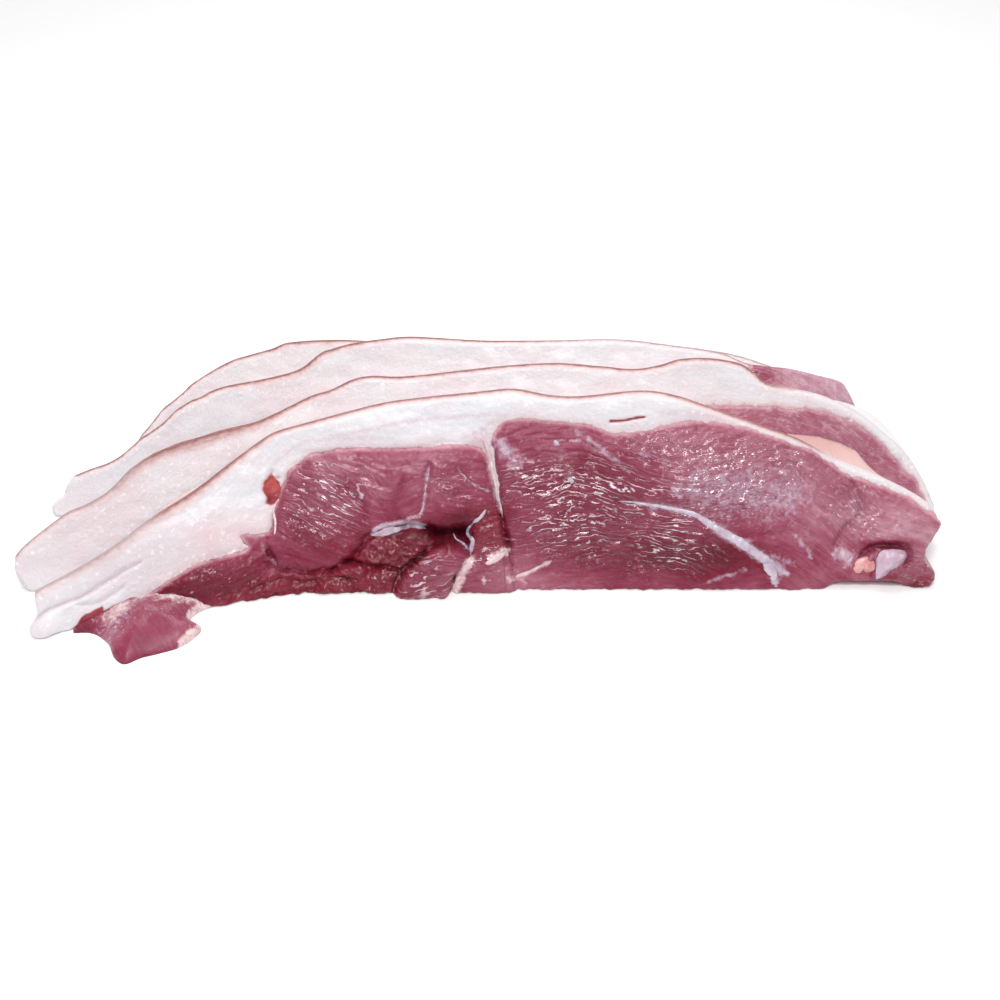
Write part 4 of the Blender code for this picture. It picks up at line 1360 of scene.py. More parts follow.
@dataclass
class FirstSlice:
    """The front slice, whose whole cut face shows."""

    lean_spacing: float = 0.45
    fat_spacing: float = 0.7
    border_spacing: float = 0.5
    steps: int = 14
    seed: int = 11
    fall: float = 2.6
    rounding: float = 3.0
    foot_rounding: float = 2.0
    pocket_depth: float = 3.0
    cavity_depth: float = 7.0
    pit_depth: float = 2.6
    veil_height: float = 0.2
    border_depth: float = 0.45
    undercut_x: float = 138.0
    undercut_depth: float = 6.0
    cartilage_swell: float = 2.2
    right_tone: float = 0.56
    left_tone: float = 0.54
    streak_tone: float = 0.03
    groove_shade: float = 0.075
    outline: np.ndarray = field(init=False)
    rings: list[np.ndarray] = field(init=False)

    def __post_init__(self) -> None:
        """Draw the outline and the borders of the muscles."""
        self.outline = slice_outline(0, self.border_spacing)
        self.rings = [wandering(ring_of(points, self.border_spacing), by)
                      for points, by in ((RIGHT_MUSCLES, 0.7), (LEFT_MUSCLES, 0.7), (CARTILAGE, 0.3))]

    def relief(self, corners: np.ndarray) -> np.ndarray:
        """How far the cut face stands forward.

        Args:
            corners: x and v of each point.

        Returns:
            One height for each corner, in millimetres.
        """
        noise = Noise(self.seed)
        x, v = corners.T
        right = signed(corners, self.rings[0][::3], 14.0)
        left = signed(corners, self.rings[1][::3], 14.0)
        lean = np.maximum(right, left)
        forward = self.swellings(corners, noise, right, lean)
        forward = forward + ramp(lean, 0.2, 2.0) * self.ripples(corners, noise)
        lumps = 1.5 * noise.at(x / 4.2, v / 3) + 0.4 * noise.at(x / 2.1, v / 1.8)
        forward = forward + spots(corners, RAGGED) * lumps
        for path, depth, half_width in GROOVES:
            forward = forward - depth * stroke(corners, path, half_width)
        for path, half_width, strength in VEILS:
            forward = forward + self.veil_height * strength * stroke(corners, path, half_width)
        forward = forward - self.pit_depth * ramp(-self.pit(corners), -1.25, -0.5)
        forward = forward - self.border_depth * np.exp(-(lean / 1.0) ** 2)
        return self.edged(forward, corners, noise)

    def swellings(self, corners: np.ndarray, noise: Noise, right: np.ndarray,
                  lean: np.ndarray) -> np.ndarray:
        """The large forms: the fat's lobes, the muscles' bundles and the cavity.

        Args:
            corners: x and v of each point.
            noise: the slice's noise.
            right: how far inside the right muscles each corner is.
            lean: how far inside either group of muscles each corner is.

        Returns:
            One height for each corner, in millimetres.
        """
        x, v = corners.T
        fat = sum(self.lobe(corners, item) for item in FAT_LOBES)
        fat = fat + 0.35 * noise.at(x / 9, v / 6) + 0.12 * noise.at(x / 2.6, v / 2.2)
        fat = fat - self.fall * np.clip(lean, 0, None)
        main = sum(self.lobe(corners, item) for item in RIGHT_LOBES)
        main = main + 0.9 * quarter_round(np.clip(right / 6, 0, 1))
        main = main + self.fall * np.minimum(right, 0)
        pocket = -self.pocket_depth - self.cavity_depth * blob(corners, *CAVITY)
        bundles = [bundle.height(corners, self.fall) for bundle in BUNDLES]
        return smooth_max([fat, main, *bundles, pocket], 0.35)

    def ripples(self, corners: np.ndarray, noise: Noise) -> np.ndarray:
        """The fine relief of the lean: waves along the fibres, and small crags between them.

        Args:
            corners: x and v of each point.
            noise: the slice's noise.

        Returns:
            One height for each corner, in millimetres.
        """
        x, v = corners.T
        along, across = self.fibre(corners).T
        streak = self.streak(corners)
        ripple = np.sin(2 * math.pi * (across + 1.3 * noise.at(along / 9, across / 9)) / 2.3)
        ripple = ripple * ramp(noise.at(along / 7 + 4, across / 4), -0.35, 0.35)
        return (0.3 * noise.at(across / 2.4, along / 11)
                + 0.12 * noise.at(across / 1.2, along / 5 + 9)
                + 0.18 * streak * ripple
                + 0.26 * (1 - streak) * noise.at(x / 1.9, v / 1.6)
                + 0.4 * noise.at(x / 6, v / 5))

    def edged(self, forward: np.ndarray, corners: np.ndarray, noise: Noise) -> np.ndarray:
        """The relief with its edges rounded and its foot uneven.

        Args:
            forward: how far each corner stands out.
            corners: x and v of each point.
            noise: the slice's noise.

        Returns:
            One height for each corner, in millimetres.
        """
        x, v = corners.T
        hang = ramp(-np.abs(x - self.undercut_x), -20, -8) * ramp(-v, -5, 0)
        forward = forward - self.undercut_depth * hang
        forward = self.rounded(forward, corners, SKIN_LINES[0])
        forward = forward - self.foot_rounding * (1 - quarter_round(np.clip(v / 2.4, 0, 1)))
        uneven = 0.9 * noise.at(x / 7, 3 + 0 * x) + 0.5 * noise.at(x / 2.5, 8 + 0 * x)
        forward = forward + uneven * ramp(-v, -6, 0)
        for edge in (RIGHT_ENDS[0], LEFT_TIPS[0]):
            forward = self.rounded(forward, corners, edge)
        return forward

    def rounded(self, forward: np.ndarray, corners: np.ndarray, edge: Path) -> np.ndarray:
        """The relief with one edge of the slice rounded off."""
        near = np.clip(distance(corners, smooth_curve(edge, 1.0), 6) / self.rounding, 0, 1)
        return forward - self.rounding * (1 - quarter_round(near))

    @staticmethod
    def streak(corners: np.ndarray) -> np.ndarray:
        """How much the wet film lies in lines at each corner, from 0 to 1."""
        return np.clip(spots(corners, STREAKS), 0, 1)

    @staticmethod
    def pit(corners: np.ndarray) -> np.ndarray:
        """How far each corner is from the middle of the pit at the left, with 1 near its edge."""
        x, v = corners.T
        wander = 0.35 * Noise(PIT_SEED).at(x / 2.6, v / 2.6)
        return np.hypot((x + 84.8) / 3.2, (v - 39) / 6.2) + wander

    @staticmethod
    def lobe(corners: np.ndarray, item: tuple[float, ...]) -> np.ndarray:
        """Height of one rounded swelling at each corner."""
        x, v, long, tall, height = item
        square = ((corners[:, 0] - x) / long) ** 2 + ((corners[:, 1] - v) / tall) ** 2
        return height * np.clip(1 - square, 0, None) ** 1.5

    @staticmethod
    def fibre(corners: np.ndarray) -> np.ndarray:
        """Millimetres along and across the fibres, by the muscle that a corner is in."""
        right = corners[:, 0] > 1 - 0.05 * (corners[:, 1] - 20)
        return np.where(right[:, None], RIGHT_FLOW.at(corners), LEFT_FLOW.at(corners))

    def lean_values(self, corners: np.ndarray) -> dict[str, np.ndarray]:
        """The numbers that the lean's finish reads.

        Args:
            corners: x and v of each point.

        Returns:
            The numbers by name, one for each corner.
        """
        tone = np.where(corners[:, 0] > 1, self.right_tone, self.left_tone)
        tone = tone + sum(amount * blob(corners, *spot) for *spot, amount in TONES)
        streak = self.streak(corners)
        tone = tone - self.streak_tone * streak
        # Painted shade along the grooves, darker the deeper each groove is.
        for path, depth, half_width in GROOVES:
            tone = tone - self.groove_shade * depth * stroke(corners, path, 0.8 * half_width)
        wet = sum(amount * blob(corners, *spot) for *spot, amount in WETNESS)
        fat = [smooth_curve(LEFT_MUSCLES[2:-5], 1.0), smooth_curve(RIGHT_MUSCLES[8:-2], 1.0)]
        rim = np.minimum(*(distance(corners, line, 6) for line in fat))
        return {"tone": tone, "veil": strongest(corners, VEILS),
                "fatty": strongest(corners, FATTY), "wet": np.clip(wet, 0.15, 1.1),
                "streak": streak, "rim": rim,
                "torn": np.clip(0.55 * spots(corners, TORN), 0, 0.6)}

    def fat_values(self, corners: np.ndarray, share: np.ndarray) -> dict[str, np.ndarray]:
        """The numbers that the fat's finish reads.

        Args:
            corners: x and v of each point.
            share: how far through the slice each point is.

        Returns:
            The numbers by name, one for each corner.
        """
        v = corners[:, 1]
        values = fat_values(0, corners, share)
        lean = np.maximum(*(signed(corners, ring[::3], 8.0) for ring in self.rings[:2]))
        pit = ramp(-self.pit(corners), -1.1, -0.75)
        slit = stroke(corners, SLIT, 0.5, 3.0)
        border = wandering(ring_of(SMALL_LEAN, 1.0), 1.0)
        small = ramp(signed(corners, border, 4), -0.4, 0.5)
        values["raw"] = np.maximum.reduce([pit, 0.9 * slit, small * (1 - blob(corners, *SCRAP))])
        # Painted shade in the lower part of the pit and in the slit, and the darker own colour of the
        # small lean.
        values["deep"] = np.maximum.reduce([pit * ramp(-v, -41, -35) * 0.8, slit * 0.8, small * 0.7])
        values["blush"] = np.clip(values["blush"] + 0.75 * np.exp(lean / 1.6)
                                  + 0.5 * blob(corners, -100, 26, 12, 7), 0, 1) * 0.8
        values["line"] = strongest(corners, FAT_LINES)
        values["rim"] = np.minimum(np.abs(lean), 6)
        return values

    def build(self, fat: bpy.types.Material, lean: bpy.types.Material,
              cartilage: bpy.types.Material) -> list[bpy.types.Object]:
        """Build the fat, the two groups of muscles and the cartilage.

        Args:
            fat: finish of the fat and the skin.
            lean: finish of the muscles.
            cartilage: finish of the cartilage.

        Returns:
            The pieces.
        """
        rings = [self.outline, *self.rings]
        coarse = grid_points(self.outline, self.fat_spacing)
        fine = grid_points(self.outline, self.lean_spacing)
        coarse_in = inside(coarse, self.rings[0][::2]) | inside(coarse, self.rings[1][::2])
        fine_in = inside(fine, self.rings[0][::2]) | inside(fine, self.rings[1][::2])
        extra = np.vstack([coarse[~coarse_in], fine[fine_in]])
        extra = clear_of(extra, rings, 0.7 * self.border_spacing)
        corners, triangles, label = triangulated(rings, extra)
        jobs = (("front_fat", 0, fat, Slots.FAT, "slice_1_fat"),
                ("front_right_muscles", 1, lean, Slots.LEAN, "slice_1_lean_right"),
                ("front_left_muscles", 2, lean, Slots.LEAN, "slice_1_lean_left"),
                ("front_cartilage", 3, cartilage, Slots.CARTILAGE, "slice_1_cartilage"))
        outer = inside(corners[triangles].mean(axis=1), self.outline)
        pieces = []
        for name, index, material, slot, node in jobs:
            patch = Patch.of(corners, largest(triangles[(label == index) & outer]))
            shell = Shell.through(patch, self.steps, False)
            forward = self.relief(shell.corners) * (1 - shell.share)
            if slot is Slots.CARTILAGE:
                swell = ramp(signed(shell.corners, self.rings[2], 4), 0.0, 2.5)
                forward = forward + self.cartilage_swell * (1 - shell.share) * swell
            places = DRAWING.place(0, shell.corners, shell.share, forward)
            values = (self.fat_values(shell.corners, shell.share) if slot is Slots.FAT
                      else self.lean_values(shell.corners))
            flow = FAT_FLOW.at(shell.corners) if slot is Slots.FAT else self.fibre(shell.corners)
            piece = mesh_object(name, places, shell.faces, values, deeper(flow, 0, shell))
            pieces.append(finished(piece, material, slot, node))
        return pieces


# Lines in the fat are a path, a half width and a strength.
FAT_LINES = (
    # The two fold lines are painted shade in the fat's creases. The others are the fat's own faint
    # lines and the seam's tissue.
    (FOLD, 0.6, 0.6),
    (SIDE_FOLD, 0.6, 0.4),
    (((-63, 57), (-48, 60), (-37, 62.5), (-18, 64.5), (0, 66)), 0.9, 0.5),
    (((-86, 44), (-82, 50), (-74, 55), (-62, 56.5), (-40, 56.5)), 0.8, 0.4),
    (((60, 66), (72, 66), (84, 64)), 1.6, 0.4),
    (((-14, 57), (-8, 58), (-3, 62), (2, 65)), 1.6, 0.6),
    (((-9, 58), (-6, 54), (-4, 48), (-2.5, 42), (-1, 36), (0.5, 30)), 4.0, 0.95),
)


@dataclass(frozen=True)
class SkinLook:
    """How one slice's rind and fat look, with places along x in millimetres.

    rind is the rind's width, and wide_more is added to it round wide_at. Past bare_to
    the share bare of it is missing, and left of tail_from the share tail_bare. The fat
    blushes towards its ends.
    """

    rind: float
    wide_at: float
    wide_more: float
    bare_from: float
    bare_to: float
    bare: float
    blush_left: float
    blush_right: float = 0.0
    tail_from: float = -400.0
    tail_bare: float = 0.0


SKIN_LOOKS = (
    SkinLook(0.9, -126, 1.2, 112, 128, 0.85, 0.22, 0.16, tail_from=-118, tail_bare=0.35),
    SkinLook(0.9, -120, 1.4, 100, 125, 0.85, 0.16, 0.04, tail_from=-130, tail_bare=0.3),
    SkinLook(0.72, -80, 0.5, 0, 30, 0.3, 0.14),
    SkinLook(0.72, -80, 0.4, -70, -40, 0.3, 0.12),
)


def fat_values(number: int, corners: np.ndarray, share: np.ndarray) -> dict[str, np.ndarray]:
    """The numbers that the fat's finish reads on any slice.

    Args:
        number: which slice, from 0 at the front.
        corners: x and v of each point.
        share: how far through the slice each point is.

    Returns:
        The numbers by name, one for each point.
    """
    x = corners[:, 0]
    depth = distance(corners, smooth_curve(SKIN_LINES[number], 1.5), 9.0)
    look = SKIN_LOOKS[number]
    wide = blob(np.column_stack([x, 0 * x]), look.wide_at, 0, 34, 1)
    width = look.rind + look.wide_more * wide
    on_skin = depth < 0.25
    through = np.minimum(share, 1 - share) * DRAWING.thickness(number, x)
    skin = np.where(on_skin, -through, depth / width)
    zero = np.zeros(len(corners))
    pale = ramp(x, 108, 135) if number == 1 else zero
    tail = ramp(-x, -look.tail_from, 12 - look.tail_from)
    bare = look.bare * ramp(x, look.bare_from, look.bare_to) + look.tail_bare * tail
    blush = look.blush_left * ramp(-x, 10, 120) + look.blush_right * ramp(x, -20, 60)
    return {"skin": skin, "blush": 0.04 + blush, "line": zero, "raw": zero, "deep": zero,
            "pale": pale, "bare": bare, "rim": zero + 6}


def slice_outline(number: int, spacing: float) -> np.ndarray:
    """The closed outline of one slice's front cut face."""
    skin = smooth_curve(SKIN_LINES[number], spacing)
    end = smooth_curve(RIGHT_ENDS[number], spacing)
    tip = smooth_curve(LEFT_TIPS[number], spacing)
    floor = resample(np.array([end[-1], tip[0]]), spacing)
    outline = np.vstack([line[:-1] for line in (skin, end, floor, tip)])
    return np.column_stack([outline[:, 0], np.maximum(outline[:, 1], 0)])


def smooth_max(heights: Sequence[np.ndarray], width: float) -> np.ndarray:
    """The highest of several surfaces, with the creases between them softened."""
    stack = np.array(heights)
    top = stack.max(axis=0)
    return top + width * np.log(np.exp((stack - top) / width).sum(axis=0))


def largest(triangles: np.ndarray) -> np.ndarray:
    """The biggest set of triangles that hang together by their corners.

    Args:
        triangles: three corner numbers a row.

    Returns:
        The rows of the biggest set.
    """
    group = np.arange(int(triangles.max()) + 1)
    while True:
        low = group[triangles].min(axis=1)
        before = group.copy()
        for i in range(3):
            np.minimum.at(group, triangles[:, i], low)
        group = group[group]
        if (group == before).all():
            break
    names, sizes = np.unique(group[triangles[:, 0]], return_counts=True)
    return triangles[group[triangles[:, 0]] == names[sizes.argmax()]]


def finished(piece: bpy.types.Object, material: bpy.types.Material, slot: Slots,
             *nodes: str) -> bpy.types.Object:
    """Dress a piece, hang it on the root body and hide the CAD parts that it stands for.

    Args:
        piece: the finished mesh.
        material: its finish.
        slot: not used.
        nodes: the CAD nodes that it stands for.

    Returns:
        The piece.
    """
    piece.data.materials.clear()
    piece.data.materials.append(material)
    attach(piece, "root")
    if nodes:
        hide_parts(*nodes)
    LOG.info("%s: %d faces", piece.name, len(piece.data.polygons))
    return piece


# --------------------------------------------------------- the slices behind it
@dataclass(frozen=True)
class BackLook:
    """What tells one slice behind the first from another."""

    word: str
    tone: float
    veil: float
    # How much painted shade darkens the lean towards its left end.
    painted_tail_shade: float = 0.0


BACK_LOOKS = (BackLook("second", 0.74, 0.22), BackLook("third", 0.9, 0.36, painted_tail_shade=0.28),
              BackLook("last", 0.52, 0.3))


@dataclass
class BackSlice:
    """One of the slices behind the first, of which a strip and its skin show."""

    number: int
    spacing: float = 1.3
    steps: int = 12
    rounding: float = 2.0
    outline: np.ndarray = field(init=False)
    ring: np.ndarray = field(init=False)

    def __post_init__(self) -> None:
        """Draw the outline and the border of the muscle."""
        self.outline = slice_outline(self.number, self.spacing)
        self.ring = wandering(ring_of(BEHIND_MUSCLES[self.number - 1], self.spacing), 0.8)

    def relief(self, corners: np.ndarray, share: np.ndarray) -> np.ndarray:
        """How far the cut face stands forward, less and less towards the back.

        Args:
            corners: x and v of each point.
            share: how far through the slice each point is.

        Returns:
            One height for each corner, in millimetres.
        """
        noise = Noise(BACK_SEED + self.number)
        x, v = corners.T
        depth = distance(corners, smooth_curve(SKIN_LINES[self.number], 1.5), 16)
        edge = -self.rounding * (1 - quarter_round(np.clip(depth / self.rounding, 0, 1)))
        lean = signed(corners, self.ring, 8.0)
        wave = 0.3 * noise.at(x / 8, v / 6) - 0.3
        wave = wave - 0.5 * np.exp(-(lean / 1.2) ** 2)
        return (edge + wave) * (1 - share)

    def build(self, fat: bpy.types.Material, lean: bpy.types.Material) -> list[bpy.types.Object]:
        """Build the slice's fat and its muscle.

        Args:
            fat: finish of the fat and the skin.
            lean: finish of the muscle.

        Returns:
            The pieces.
        """
        rings = [self.outline, self.ring]
        extra = clear_of(grid_points(self.outline, self.spacing), rings, 0.7 * self.spacing)
        corners, triangles, label = triangulated(rings, extra)
        outer = inside(corners[triangles].mean(axis=1), self.outline)
        last = self.number == 3
        look = BACK_LOOKS[self.number - 1]
        pieces = []
        for index, material, slot in ((0, fat, Slots.FAT), (1, lean, Slots.LEAN)):
            patch = Patch.of(corners, largest(triangles[(label == index) & outer]))
            shell = Shell.through(patch, self.steps, last)
            forward = self.relief(shell.corners, shell.share)
            places = DRAWING.place(self.number, shell.corners, shell.share, forward)
            near = signed(shell.corners, self.ring, 6.0)
            if slot is Slots.FAT:
                values = fat_values(self.number, shell.corners, shell.share)
                values["rim"] = np.abs(near)
                values["blush"] = values["blush"] + 0.5 * np.exp(-np.abs(near) / 1.5)
                flow = FAT_FLOW.at(shell.corners)
            else:
                x = shell.corners[:, 0]
                # Painted shade towards the lean's left end, where its silvery veil fades too.
                dark = look.painted_tail_shade * ramp(-x, -120, -105)
                values = {"tone": look.tone - dark, "veil": look.veil - 0.5 * dark,
                          "fatty": 0 * x, "wet": 0.4 + 0 * x, "streak": 0.5 + 0 * x,
                          "rim": np.abs(near)}
                flow = RIGHT_FLOW.at(shell.corners)
            piece = mesh_object(f"{look.word}_{slot.value}", places, shell.faces, values,
                                deeper(flow, self.number, shell))
            pieces.append(finished(piece, material, slot, f"slice_{self.number + 1}_{slot.value}"))
        return pieces


# -------------------------------------------------------------------- the flap
@dataclass
class Flap:
    """The lobe of lean that has flopped forward onto the floor at the left.

    Its outline is x and q, the distance in front of the first cut face.
    """

    spacing: float = 0.55
    height: float = 6.8
    edge: float = 0.9
    rounding: float = 13.0
    least_height: float = 0.6
    seed: int = 5
    outline: Path = (
        (-102, 0.6), (-109, 2.5), (-112, 7), (-107, 13), (-112, 19.5), (-119, 21), (-125, 21.5),
        (-130, 23), (-134.5, 18.5), (-138, 11.5), (-142.5, 6), (-146, 3.2), (-149, 2),
        (-151.5, 1.4), (-152.5, 0.9), (-151.5, 0.5),
    )
    guides: Sequence[tuple[float, float, float]] = (
        (-150, 2, 10), (-138, 8, 30), (-130, 16, 42), (-122, 14, 45), (-115, 10, 38), (-112, 16, 50))
    lobes_behind: Sequence[tuple[float, ...]] = (
        *FAT_LOBES[2:], (-105, 10, 22, 11, 2.2), (-92, 0, 14, 9, 2.5))

    def place(self, corners: np.ndarray, height: np.ndarray) -> np.ndarray:
        """Places in the frame of points of the flap.

        Args:
            corners: x and q of each point.
            height: its height over the floor, in millimetres.

        Returns:
            One place for each point, in metres.
        """
        on_face = np.column_stack([corners[:, 0], height / math.cos(DRAWING.lean)])
        lobes = sum(FirstSlice.lobe(on_face, item) for item in self.lobes_behind)
        face = DRAWING.foot(0, corners[:, 0]) - np.maximum(lobes, 0)
        depth = face - corners[:, 1] + height * math.tan(DRAWING.lean)
        return np.column_stack([corners[:, 0] - DRAWING.middle[0], depth - DRAWING.middle[1],
                                height]) * MM

    def values(self, corners: np.ndarray) -> dict[str, np.ndarray]:
        """The numbers that the lean's finish reads.

        Args:
            corners: x and q of each point.

        Returns:
            The numbers by name, one for each corner.
        """
        rim = distance(corners, smooth_curve(self.outline[:5], 0.8), 6)
        fatty = np.maximum.reduce([0.8 * ramp(-rim, -2.4, -0.6),
                                   0.9 * blob(corners, -119, 0, 16, 3.2),
                                   0.7 * blob(corners, -137, 3, 8, 4)])
        tone = 0.58 - 0.14 * blob(corners, -132, 20, 14, 5) - 0.2 * blob(corners, -149, 1.5, 6, 4)
        return {"tone": tone, "veil": 0.45 * blob(corners, -136, 7, 8, 6), "fatty": fatty,
                "wet": 0.55 - 0.5 * blob(corners, -124, 19, 16, 6),
                "streak": 0 * rim, "rim": 6 + 0 * rim}

    def build(self, lean: bpy.types.Material) -> bpy.types.Object:
        """Build the flap.

        Args:
            lean: finish of the lean.

        Returns:
            The piece.
        """
        ring = ring_of(self.outline, self.spacing)
        extra = clear_of(grid_points(ring, self.spacing), [ring], 0.7 * self.spacing)
        corners, triangles, label = triangulated([ring], extra)
        patch = Patch.of(corners, triangles[label == 0])
        shell = Shell.through(patch, 4, True)
        away = distance(shell.corners, smooth_curve(self.outline, 0.8), 20)
        rise = np.clip(away / self.rounding, 0, 1)
        top = self.edge + (self.height - self.edge) * (1 - (1 - rise) ** 2) ** 0.8
        noise = Noise(self.seed)
        x, q = shell.corners.T
        fibre = FlowField(self.guides).at(shell.corners)
        along, across = fibre.T
        lumps = (1.0 * noise.at(x / 6, q / 5) + 0.05 * noise.at(across / 1.8, along / 8)
                 + 0.25 * noise.at(x / 2.2, q / 2.2)) * rise
        height = np.maximum(top + lumps, self.least_height) * (1 - shell.share)
        fibre = fibre + np.column_stack([top, top]) * shell.share[:, None]
        piece = mesh_object("front_flap", self.place(shell.corners, height), shell.faces,
                            self.values(shell.corners), fibre)
        return finished(piece, lean, Slots.LEAN, "slice_1_flap")


# ----------------------------------------------------- strands over the cut
class NodeSetup:
    """A geometry node tree in the making, with named inputs for its sizes."""

    def __init__(self, name: str) -> None:
        """Start a tree with a geometry input and output."""
        self.tree = bpy.data.node_groups.new(name, "GeometryNodeTree")
        self.graph = Graph(self.tree)
        self.sockets: dict[str, str] = {}
        self.input("Geometry", "NodeSocketGeometry")
        self.tree.interface.new_socket("Geometry", in_out='OUTPUT',
                                       socket_type="NodeSocketGeometry")
        self.given = self.graph.add("NodeGroupInput")

    def input(self, name: str, kind: str) -> None:
        """Add an input socket."""
        self.sockets[name] = self.tree.interface.new_socket(name, in_out='INPUT',
                                                            socket_type=kind).identifier

    def finish(self, geometry: bpy.types.NodeSocket) -> None:
        """End the tree in real geometry with the given material."""
        smooth = self.graph.add("GeometryNodeSetShadeSmooth", {0: geometry})
        real = self.graph.add("GeometryNodeRealizeInstances", {0: smooth.outputs[0]})
        dressed = self.graph.add("GeometryNodeSetMaterial", {
            0: real.outputs[0], "Material": self.given.outputs["Material"]})
        self.graph.add("NodeGroupOutput", {0: dressed.outputs[0]})

    def ruffled(self, geometry: bpy.types.NodeSocket) -> bpy.types.NodeSocket:
        """The geometry with its points moved about by smooth noise.

        Args:
            geometry: the geometry as it comes.

        Returns:
            The moved geometry.
        """
        place = self.graph.add("GeometryNodeInputPosition")
        noise = self.graph.add("ShaderNodeTexNoise", {
            "Vector": place.outputs[0], "Scale": self.given.outputs["Ruffle scale"], "Detail": 3.0})
        centred = self.graph.add("ShaderNodeVectorMath", {
            0: noise.outputs["Color"], 1: (0.5, 0.5, 0.5)}, operation='SUBTRACT')
        sized = self.graph.add("ShaderNodeVectorMath", {
            0: centred.outputs[0], "Scale": self.given.outputs["Ruffle"]}, operation='SCALE')
        moved = self.graph.add("GeometryNodeSetPosition", {0: geometry, "Offset": sized.outputs[0]})
        return moved.outputs[0]

    def grown(self, name: str, mesh: bpy.types.Mesh, settings: dict) -> bpy.types.Object:
        """The plain mesh object that the tree makes of a mesh.

        Args:
            name: the new piece's name.
            mesh: what the tree starts from.
            settings: a value for each named input.

        Returns:
            The piece, without its modifier.
        """
        seed = bpy.data.objects.new(name + "_seed", mesh)
        bpy.context.scene.collection.objects.link(seed)
        modifier = seed.modifiers.new("Growth", 'NODES')
        modifier.node_group = self.tree
        for key, value in settings.items():
            modifier[self.sockets[key]] = value
        graph = bpy.context.evaluated_depsgraph_get()
        grown = bpy.data.meshes.new_from_object(seed.evaluated_get(graph), depsgraph=graph)
        bpy.data.objects.remove(seed)
        bpy.data.meshes.remove(mesh)
        grown.name = name
        piece = bpy.data.objects.new(name, grown)
        bpy.context.scene.collection.objects.link(piece)
        return piece


@dataclass(frozen=True)
class Strand:
    """A cord or strip of tissue on the first cut face, with half widths from end to end."""

    path: Path
    widths: tuple[float, ...]
    proud: float = 0.0


SILVER = (
    Strand(((43.5, 33.4), (50, 32.8), (55, 32), (60, 31.3), (66, 30), (73, 28), (77, 25.3),
            (84, 21), (91, 17), (98, 12), (102, 9.4), (105, 7.6)),
           (0.25, 0.4, 0.6, 0.8, 1.1, 1.6, 1.9, 2.1, 2.2, 0.8), 0.1),
    Strand(((97.5, 12), (100.3, 8.5), (101.8, 5.8), (101.4, 2.4)), (1.6, 2.2, 1.7, 0.3), -0.2),
    Strand(((-5.2, 30.3), (-7, 27.6), (-9.7, 25.3), (-11.5, 23.1), (-11.9, 20.8), (-10.1, 18.6),
            (-10.6, 15.9), (-11, 13.2)), (0.4, 0.6, 0.7, 0.75, 0.9, 0.7, 0.9, 0.3), 0.35),
    Strand(((-17.7, 21.3), (-16.4, 19), (-14.6, 17.7), (-11.5, 15)), (0.2, 0.4, 0.6, 0.3), 0.4),
    Strand(((-26, 45), (-27, 41), (-28, 36), (-28.6, 31), (-30.5, 28)),
           (0.12, 0.22, 0.3, 0.4, 0.6), -0.06),
    Strand(((-16, 46), (-13, 42.5), (-9, 39), (-3.5, 37.3)), (0.1, 0.2, 0.24, 0.15), -0.04),
    Strand(((-48, 20.6), (-43.7, 21.6), (-39.2, 22.8), (-35.6, 23.3), (-32, 24), (-27.6, 22.8)),
           (0.4, 1.5, 1.4, 1.8, 1.3, 0.3), 1.3),
    Strand(((20, 55.6), (21.6, 54.2)), (0.8, 0.7), 0.1),
    Strand(((25.2, 41.9), (27.1, 40.3)), (0.8, 0.8), 0.15),
)
CREAM = (
    Strand(((-82.6, 35.5), (-83.8, 31), (-83, 27), (-83.2, 22.3)), (0.35, 0.5, 0.45, 0.3), 0.3),
    Strand(((-7, 57.5), (-4.4, 52), (-3, 46), (-1.8, 40), (-0.8, 34.5)),
           (0.3, 0.8, 0.65, 0.45, 0.2), 0.3),
    Strand(((-17.6, 1.8), (-16.6, 3), (-15.4, 4.8), (-14.4, 6.9), (-12.6, 9.6), (-10.8, 12)),
           (0.3, 0.8, 1.5, 2.1, 2.0, 0.6), 0.2),
    Strand(((-5.4, 10.2), (-2.6, 11.4), (0.2, 13.2), (2.4, 14.6)), (0.5, 1.3, 1.4, 0.3), 0.1),
    Strand(((6, 5), (11, 7), (19, 11)), (0.9, 0.5, 0.12)),
)
KNUCKLE = (Strand(((132.8, 6.6), (134.4, 9.4), (137, 9.8), (138, 6.6)), (1.4, 2.6, 2.7, 1.8), 0.0),)


